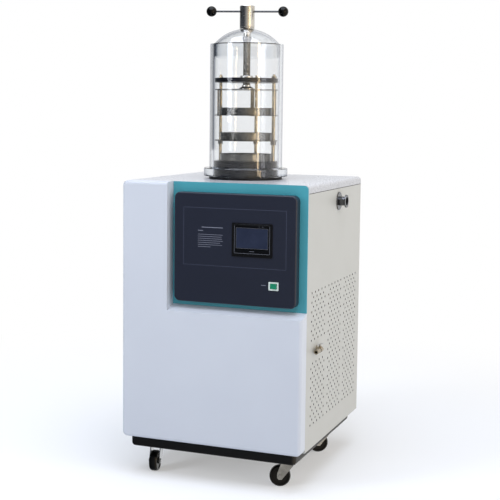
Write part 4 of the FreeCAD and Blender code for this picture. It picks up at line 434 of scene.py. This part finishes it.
# %% Moulded skins
def moulded_skin(name, colour, shade, roughness, pebble_mm=1.5, ior=1.53):
    material = empty_material(name)
    tree = material.node_tree
    place = add(tree, "ShaderNodeTexCoord", {}).outputs["Object"]
    pebble = add(tree, "ShaderNodeTexNoise", {"Vector": place, "Scale": per_metre(pebble_mm), "Detail": 2.0})
    drift = add(tree, "ShaderNodeTexNoise", {"Vector": place, "Scale": per_metre(120), "Detail": 2.0})
    tone = add(tree, "ShaderNodeMix", {
        "Factor": drift.outputs["Fac"],
        FIRST_COLOUR: paint(colour),
        SECOND_COLOUR: paint(shade),
    }, data_type="RGBA")
    gloss = add(tree, "ShaderNodeMapRange", {
        "Value": pebble.outputs["Fac"],
        "To Min": roughness - 0.08,
        "To Max": roughness + 0.08,
    })
    grain = add(tree, "ShaderNodeBump", {
        "Height": pebble.outputs["Fac"],
        "Distance": mm(0.04),
        "Strength": 0.3,
    })
    shader = add(tree, "ShaderNodeBsdfPrincipled", {
        "Base Color": tone.outputs[MIXED_COLOUR],
        "Roughness": gloss.outputs["Result"],
        "Normal": grain.outputs["Normal"],
        "IOR": ior,
    })
    add(tree, "ShaderNodeOutputMaterial", {"Surface": shader.outputs["BSDF"]})
    return material


slate_plastic = moulded_skin("slate_moulded_abs", "#1b2030", "#1e2435", 0.42, 2.0)
black_plastic = moulded_skin("black_moulded_abs", "#070708", "#0c0c0e", 0.3)
ball_plastic = moulded_skin("black_phenolic_ball", "#020203", "#050506", 0.14, 6.0, 1.3)
white_plastic = moulded_skin("white_moulded_abs", "#cfdcda", "#c4d2d0", 0.28)
hose_plastic = moulded_skin("milky_drain_hose", "#d7dcdc", "#c9cfd0", 0.4)
gasket_rubber = moulded_skin("black_nitrile_rubber", "#0b0b0c", "#131314", 0.55, 1.2)
wheel_rubber = moulded_skin("black_wheel_rubber", "#030304", "#08080a", 0.34, 2.5, 1.35)
closed_foam = moulded_skin("black_closed_cell_foam", "#1b1b1d", "#232326", 0.85, 4.0)
black_lacquer = moulded_skin("black_compressor_lacquer", "#0e0f10", "#151617", 0.22, 9.0)
print("materials with the moulded skins:", len(bpy.data.materials))

# %% [markdown]
# The switch's cap is clear polycarbonate tinted green, with a lamp behind it. A little light of its
# own makes it look lit from within, and a ripple in the tone shows the moulded ribs behind it.

# %% Lit green cap
def lit_green_plastic():
    material = empty_material("lit_green_polycarbonate")
    tree = material.node_tree
    place = add(tree, "ShaderNodeTexCoord", {}).outputs["Object"]
    ripple = add(tree, "ShaderNodeTexNoise", {"Vector": place, "Scale": per_metre(5), "Detail": 2.0})
    tone = add(tree, "ShaderNodeMix", {
        "Factor": ripple.outputs["Fac"],
        FIRST_COLOUR: paint("#127556"),
        SECOND_COLOUR: paint("#228a6a"),
    }, data_type="RGBA")
    gloss = add(tree, "ShaderNodeMapRange", {"Value": ripple.outputs["Fac"], "To Min": 0.12, "To Max": 0.28})
    shader = add(tree, "ShaderNodeBsdfPrincipled", {
        "Base Color": tone.outputs[MIXED_COLOUR],
        "Roughness": gloss.outputs["Result"],
        "Emission Color": tone.outputs[MIXED_COLOUR],
        "Emission Strength": 0.06,
        "IOR": 1.58,
    })
    add(tree, "ShaderNodeOutputMaterial", {"Surface": shader.outputs["BSDF"]})
    return material


green_cap = lit_green_plastic()
print("switch cap:", green_cap.name)

# %% [markdown]
# ## Glass and ink
#
# The touch screen's front is glass printed black on its back, so it looks like a dark mirror. Glass
# has an IOR of 1.52, and a finger's smears show as slow changes of roughness. The liquid crystal
# behind it and the screen-printed inks are just as flat, so they share the same few nodes with
# other tones and a duller skin.

# %% Printed glass and flat inks
def smeared_skin(name, colour, shade, roughness):
    material = empty_material(name)
    tree = material.node_tree
    place = add(tree, "ShaderNodeTexCoord", {}).outputs["Object"]
    smear = add(tree, "ShaderNodeTexNoise", {"Vector": place, "Scale": per_metre(25), "Detail": 3.0})
    tone = add(tree, "ShaderNodeMix", {
        "Factor": smear.outputs["Fac"],
        FIRST_COLOUR: paint(colour),
        SECOND_COLOUR: paint(shade),
    }, data_type="RGBA")
    gloss = add(tree, "ShaderNodeMapRange", {
        "Value": smear.outputs["Fac"],
        "To Min": roughness - 0.06,
        "To Max": roughness + 0.08,
    })
    shader = add(tree, "ShaderNodeBsdfPrincipled", {
        "Base Color": tone.outputs[MIXED_COLOUR],
        "Roughness": gloss.outputs["Result"],
        "IOR": 1.52,
    })
    add(tree, "ShaderNodeOutputMaterial", {"Surface": shader.outputs["BSDF"]})
    return material


screen_glass = smeared_skin("printed_black_glass", "#050608", "#08090c", 0.14)
dark_display = smeared_skin("dark_liquid_crystal", "#20273a", "#2a3248", 0.2)
silver_print = smeared_skin("silver_screen_print", "#656973", "#5a5e68", 0.4)
pale_ink = smeared_skin("pale_screen_print", "#8b90a2", "#7b8193", 0.5)
# The groove's lighter tone is a painted highlight of its lit lip.
groove_painted_highlight = smeared_skin("slate_groove_painted_highlight", "#363c50", "#3c4256", 0.5)
print("materials in all:", len(bpy.data.materials))

# %% [markdown]
# ## Finishes on the solids
#
# Every solid of the CAD model gets the finish of its real material. A part bought ready-made, such
# as a caster, has several finishes, so its plate, fork and wheel are separate solids.

# %% Give each solid its finish
caster_places = ("front_left", "front_right", "rear_left", "rear_right")
finishes = {
    cool_grey_paint: ["front_panel"],
    warm_grey_coat: ["rear_panel"],
    pale_coat: ["top_cover"],
    teal_coat: ["bezel_panel"],
    black_coat: ["base_frame"],
    frame_coat_and_shade: ["inner_frame", "control_box"],
    slate_plastic: ["control_fascia"],
    black_plastic: ["screen_housing", "power_inlet", "fan_blade"],
    white_plastic: ["switch_frame"],
    green_cap: ["switch_rocker"],
    screen_glass: ["screen_glass"],
    steel_sheet: ["shelf_1", "shelf_2", "tray_1", "tray_2", "tray_3", "press_plate"],
    steel_and_painted_shade: ["cold_trap", "rack_base_plate", "rack_top_plate"],
    steel_bar: ["rack_rods", "shelf_hangers", "rod_nuts", "drain_valve"],
    turned_steel: ["handle_hub", "dome_gland", "screw_nut", "press_foot"],
    polished_steel: ["vacuum_pipe", "port_escutcheon", "handle_bar"],
    screw_steel: ["press_screw"],
    chrome: ["drain_lever"],
    copper: ["evaporator_coil", "refrigerant_pipes"],
    fin_stock: ["condenser_block"],
    zinc_plate: ["caster_plates", "fan_shroud", "panel_screws"],
    acrylic: ["chamber_cylinder", "chamber_dome"],
    gasket_rubber: ["base_gasket"],
    closed_foam: ["trap_insulation"],
    hose_plastic: ["drain_pipe"],
    black_lacquer: ["compressor", "fan_motor"],
    ball_plastic: ["handle_balls"],
    wheel_rubber: [f"caster_wheel_{place}" for place in caster_places],
}
finishes[zinc_plate] += [f"caster_fork_{place}" for place in caster_places]
for name, coat in side_coats.items():
    finishes[coat] = [name]

for finish, names in finishes.items():
    for name in names:
        nodes[name].data.materials.clear()
        nodes[name].data.materials.append(finish)

undressed = set(nodes) - {name for names in finishes.values() for name in names}
if undressed:
    raise ValueError(f"these solids have no finish: {sorted(undressed)}")
print("finishes used:", len(finishes))

# %% [markdown]
# ## Making new pieces
#
# A piece that is only thin bars, such as a row of print, starts as a list of rectangles. `bars`
# makes their mesh, and `piece` turns a mesh into an object, gives it a finish and lets it ride on
# a body of the model, so that it moves with it. A printed frame is four such bars, which `outline`
# lists.

# %% Helpers for new pieces
def piece(name, mesh, finish, body="cabinet"):
    shape = bpy.data.objects.new(name, mesh)
    bpy.context.scene.collection.objects.link(shape)
    mesh.materials.append(finish)
    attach(shape, body)


def bars(name, rectangles, front_y, depth):
    """Thin upright bars that face the front: each rectangle is its middle x, z, width and height."""
    shape = bmesh.new()
    for x, z, width, height in rectangles:
        size = Matrix.Diagonal((width, depth, height, 1))
        place = Matrix.Translation((x, front_y + depth / 2, z))
        bmesh.ops.create_cube(shape, size=1, matrix=place @ size)
    mesh = bpy.data.meshes.new(name)
    shape.to_mesh(mesh)
    shape.free()
    return mesh


def outline(x, z, width, height, line):
    """Four bars round a rectangle."""
    return [
        (x, z + height / 2, width, line),
        (x, z - height / 2, width, line),
        (x - width / 2, z, line, height),
        (x + width / 2, z, line, height),
    ]


print("bars in an outline:", len(outline(0, 0, 1, 1, mm(1))))

# %% [markdown]
# ## The touch screen
#
# Behind the glass lies a liquid-crystal panel with a 4.3 inch picture, 96 by 54 mm, in a window that
# is a little taller. A fine silver line is printed round the glass and round the window, two lamps
# sit at the top edge, and a plain dash at the lower one. The picture is off, so the window is a dark
# blue-grey rectangle, a little lighter than the glass round it.

# %% Screen picture, border line and lamps
glass = middle("screen_glass")
print_lift = mm(0.15)
screen_face_y = low("screen_glass").y - print_lift

window_z = glass.z + mm(5.5)
window_width, window_height = mm(96), mm(57)
window = [(glass.x, window_z, window_width, window_height)]
window_mesh = bars("screen_picture", window, screen_face_y, print_lift)
piece("screen_picture", window_mesh, dark_display)

rim_z = glass.z + mm(3.5)
rim_width, rim_height = mm(108), mm(84)
rim_line, window_line = mm(1.0), mm(0.6)
around_window = mm(2)
border = outline(glass.x, rim_z, rim_width, rim_height, rim_line)
border += outline(
    glass.x, window_z, window_width + around_window, window_height + around_window, window_line
)
border_mesh = bars("screen_border_lines", border, screen_face_y, print_lift)
piece("screen_border_lines", border_mesh, silver_print)

lamp_z, dash_z = glass.z + mm(40), glass.z - mm(32)
lamp_width, lamp_height = mm(2.6), mm(1.4)
lamps = [(glass.x + mm(offset), lamp_z, lamp_width, lamp_height) for offset in (22, 33)]
dash = (glass.x, dash_z, mm(14), mm(1.2))
lamp_mesh = bars("screen_lamps", lamps + [dash], screen_face_y, print_lift)
piece("screen_lamps", lamp_mesh, silver_print)
print("screen face at y", round(screen_face_y * 1000, 2), "mm")

# %% [markdown]
# ## Seam under the lid
#
# The lid is a folded tray that drops over the panels, and the narrow gap under it lies in shadow.
# That shadow is painted as a thin dark ribbon round the sides and the back. It stands a few
# hundredths of a millimetre proud of the coat, wide enough to be seen from a step away.

# %% Painted shadow of the seam under the lid
lid_low, lid_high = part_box("top_cover")
seam_low, seam_high = lid_low.z - mm(1.6), lid_low.z + mm(0.2)
strip_start = lid_low.y + mm(6)
proud = mm(0.03)
route = [
    (lid_low.x - proud, strip_start),
    (lid_low.x - proud, lid_high.y + proud),
    (lid_high.x + proud, lid_high.y + proud),
    (lid_high.x + proud, strip_start),
]
seam_shadow_ribbon = bpy.data.meshes.new("lid_seam_painted_shadow")
corners = [(x, y, z) for x, y in route for z in (seam_low, seam_high)]
faces = [(n, n + 2, n + 3, n + 1) for n in (0, 2, 4)]
seam_shadow_ribbon.from_pydata(corners, [], faces)
# The black ribbon is the painted shadow of the gap under the lid.
piece("lid_seam_painted_shadow", seam_shadow_ribbon, gasket_rubber)
print("seam height in mm:", round((seam_high - seam_low) * 1000, 1))

# %% [markdown]
# ## Print on the control cover
#
# The cover carries a short text to the left of the screen, and a word by the switch. From a step
# away they are rows of thin pale strokes, so each row is one plain bar. The rows have uneven
# lengths, as lines of text do.

# %% Rows of plain print
cover_print_lift = mm(0.12)
cover_face_y = low("control_fascia").y - cover_print_lift
print_depth = mm(0.1)
text_left = middle("control_fascia").x - mm(113.5)
text_top = middle("control_fascia").z + mm(40)
row_step = mm(6.0)
row_height = mm(0.9)
row_lengths = [78, 74, 76, 78, 70, 76, 40]
title = (text_left + mm(45), text_top + mm(21), mm(66), mm(1.7))
subtitle = (text_left + mm(8), text_top + mm(11), mm(16), mm(1.6))
print_rows = [title, subtitle]
for number, length in enumerate(row_lengths):
    row_middle = text_left + mm(length) / 2
    print_rows.append((row_middle, text_top - row_step * number, mm(length), row_height))
piece("cover_print", bars("cover_print", print_rows, cover_face_y, print_depth), pale_ink)
print("rows of print:", len(print_rows))

# %% [markdown]
# The line in the cover's groove is a little lighter than the cover: a painted highlight of the
# groove's lit lip. It is an outline again, sunk so far that it lies almost flush. The word by the
# switch is one more bar.

# %% Painted highlight in the groove and the word by the switch
cover_low, cover_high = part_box("control_fascia")
groove_line = mm(1.4)
groove_inset = mm(30)
groove_from_top = mm(42.75)
groove_field = mm(169.5)
groove_sink = mm(0.08)
groove_width = cover_high.x - cover_low.x - groove_inset * 2 - groove_line
groove_height = groove_field - groove_line
groove_z = cover_high.z - groove_from_top - groove_field / 2
groove = outline(middle("control_fascia").x, groove_z, groove_width, groove_height, groove_line)
groove_mesh = bars("cover_groove_painted_highlight", groove, cover_face_y + groove_sink, print_depth)
piece("cover_groove_painted_highlight", groove_mesh, groove_painted_highlight)

switch = middle("switch_frame")
switch_word = [(switch.x - mm(31), switch.z + mm(1), mm(14), mm(1.3))]
piece("switch_print", bars("switch_print", switch_word, cover_face_y, print_depth), pale_ink)
print("groove height in mm:", round(groove_height * 1000))

# %% [markdown]
# ## Camera
#
# The view is from the right of the front and from a little above. A long lens keeps the upright
# edges nearly parallel, as is usual for a picture of a product. A camera's rotation starts out
# looking straight down, so it is tipped up to the horizon first, then down by the pitch, and turned
# by the yaw.

# %% Camera
camera_data = bpy.data.cameras.new("camera")
camera = bpy.data.objects.new("camera", camera_data)
bpy.context.scene.collection.objects.link(camera)
camera_data.sensor_width = 36
camera_data.lens = 80.55
camera_data.shift_y = -0.075
camera_data.clip_end = 80
yaw, pitch, roll = math.radians(21.083), math.radians(5.085), math.radians(0.635)
camera.location = (1.2517, -3.2572, 1.1002)
tip = Matrix.Rotation(math.pi / 2 - pitch, 4, "X")
turn = Matrix.Rotation(yaw, 4, "Z") @ tip @ Matrix.Rotation(roll, 4, "Z")
camera.rotation_euler = turn.to_euler()
bpy.context.scene.camera = camera
print("camera height in mm:", round(camera.location.z * 1000))

# %% [markdown]
# ## Floor
#
# The object stands on a plain white floor, which is round and very wide, so that it looks the same
# from every side. Near the object it is mostly matt paint, which takes a soft shadow. Further out it
# glows white by itself, as a lit backdrop does, so that no horizon shows.

# %% Floor
def lit_white_floor(matt_reach, lit_reach):
    material = empty_material("matt_white_floor")
    tree = material.node_tree
    place = add(tree, "ShaderNodeTexCoord", {}).outputs["Object"]
    cloud = add(tree, "ShaderNodeTexNoise", {"Vector": place, "Scale": per_metre(900), "Detail": 2.0})
    tone = add(tree, "ShaderNodeMix", {
        "Factor": cloud.outputs["Fac"],
        FIRST_COLOUR: paint("#f0f5fc"),
        SECOND_COLOUR: paint("#ecf1f8"),
    }, data_type="RGBA")
    reach = add(tree, "ShaderNodeVectorMath", {0: place}, operation="LENGTH")
    far = add(tree, "ShaderNodeMapRange", {
        "Value": reach.outputs["Value"],
        "From Min": matt_reach,
        "From Max": lit_reach,
        "To Min": 0.35,
    }, interpolation_type="SMOOTHSTEP")
    matt = add(tree, "ShaderNodeBsdfDiffuse", {"Color": tone.outputs[MIXED_COLOUR], "Roughness": 1.0})
    lit = add(tree, "ShaderNodeEmission", {"Color": paint("#ffffff"), "Strength": 1.0})
    skin = add(tree, "ShaderNodeMixShader", {
        "Fac": far.outputs["Result"],
        1: matt.outputs["BSDF"],
        2: lit.outputs["Emission"],
    })
    add(tree, "ShaderNodeOutputMaterial", {"Surface": skin.outputs["Shader"]})
    return material


floor_radius = 30
matt_radius, lit_radius = 0.6, 2.2
disc = bmesh.new()
bmesh.ops.create_circle(disc, cap_ends=True, radius=floor_radius, segments=96)
floor_mesh = bpy.data.meshes.new("studio_floor")
disc.to_mesh(floor_mesh)
disc.free()
floor = bpy.data.objects.new("studio_floor", floor_mesh)
bpy.context.scene.collection.objects.link(floor)
floor_mesh.materials.append(lit_white_floor(matt_radius, lit_radius))
floor.visible_glossy = False
print("floor radius in m:", floor_radius)

# %% [markdown]
# ## Light
#
# Steel and clear acrylic have hardly a colour of their own: they show the room. So the room is
# bright behind the object, dim in front and at the left, and warm at the right, and every round
# bar turns from dark to gold across its width. Three soft boxes light the coats: a wide one overhead
# for the floor and the top, one at the front left for the front shell, and a weak one at the right
# for the side. The two at the sides stay out of reflections. A narrow warm strip at the right does
# the opposite: it shows only in reflections, as a gold line on the steel.

# %% Soft boxes
def soft_box(name, place, aim, width, height, power, colour):
    data = bpy.data.lights.new(name, "AREA")
    data.shape = "RECTANGLE"
    data.size, data.size_y = width, height
    data.energy = power
    data.color = paint(colour)[:3]
    light = bpy.data.objects.new(name, data)
    bpy.context.scene.collection.objects.link(light)
    light.location = place
    light.rotation_euler = (Vector(aim) - Vector(place)).to_track_quat("-Z", "Y").to_euler()
    return light


cabinet_point, bell_point = (0, 0, 0.7), (0, 0, 1.1)
overhead_box = soft_box("overhead_box", (0.0, -0.8, 3.4), cabinet_point, 3.0, 3.0, 98, "#eff4ff")
left_box = soft_box("left_box", (-2.4, -3.2, 1.9), cabinet_point, 1.2, 1.8, 47, "#f9fbff")
right_box = soft_box("right_box", (3.4, -0.6, 1.7), cabinet_point, 1.0, 2.2, 20, "#fbfbff")
gold_strip = soft_box("gold_strip", (2.6, -1.5, 1.2), bell_point, 0.28, 1.6, 12, "#ffe2b4")
for fill in (left_box, right_box):
    fill.visible_glossy = False
gold_strip.visible_diffuse = False
total_power = sum(box.data.energy for box in (overhead_box, left_box, right_box, gold_strip))
print("power of the soft boxes in W:", total_power)

# %% [markdown]
# The room itself is the world: its colour follows the direction that a ray looks in. A ramp runs
# from the left wall to the right one, and the wall behind the object is white. The camera sees the
# whole room plain white.

# %% The room
world = bpy.data.worlds.new("studio_room")
bpy.context.scene.world = world
world.use_nodes = True
room = world.node_tree
room.nodes.clear()
direction = add(room, "ShaderNodeTexCoord", {}).outputs["Generated"]
axes = add(room, "ShaderNodeSeparateXYZ", {"Vector": direction})
rightward = add(room, "ShaderNodeMapRange", {
    "Value": axes.outputs["X"],
    "From Min": -1.0,
    "From Max": 1.0,
})
walls = add(room, "ShaderNodeValToRGB", {"Fac": rightward.outputs["Result"]})
ramp = walls.color_ramp
left_end, right_end = ramp.elements
left_end.color, right_end.color = paint("#4a5058"), paint("#ffffff")
for position, shade in [(0.3, "#30343c"), (0.5, "#8f939b"), (0.68, "#c9c4ba"), (0.9, "#ffe6c2")]:
    ramp.elements.new(position).color = paint(shade)
backward = add(room, "ShaderNodeMapRange", {
    "Value": axes.outputs["Y"],
    "From Min": 0.35,
    "From Max": 0.85,
})
around = add(room, "ShaderNodeMix", {
    "Factor": backward.outputs["Result"],
    FIRST_COLOUR: walls.outputs["Color"],
    SECOND_COLOUR: paint("#ffffff"),
}, data_type="RGBA")
seen = add(room, "ShaderNodeLightPath", {}).outputs["Is Camera Ray"]
shown = add(room, "ShaderNodeMix", {
    "Factor": seen,
    FIRST_COLOUR: around.outputs[MIXED_COLOUR],
    SECOND_COLOUR: paint("#ffffff"),
}, data_type="RGBA")
air = add(room, "ShaderNodeBackground", {"Color": shown.outputs[MIXED_COLOUR], "Strength": 1.0})
add(room, "ShaderNodeOutputWorld", {"Surface": air.outputs["Background"]})
bpy.context.scene.view_settings.view_transform = "Standard"
print("room lit by:", world.name)
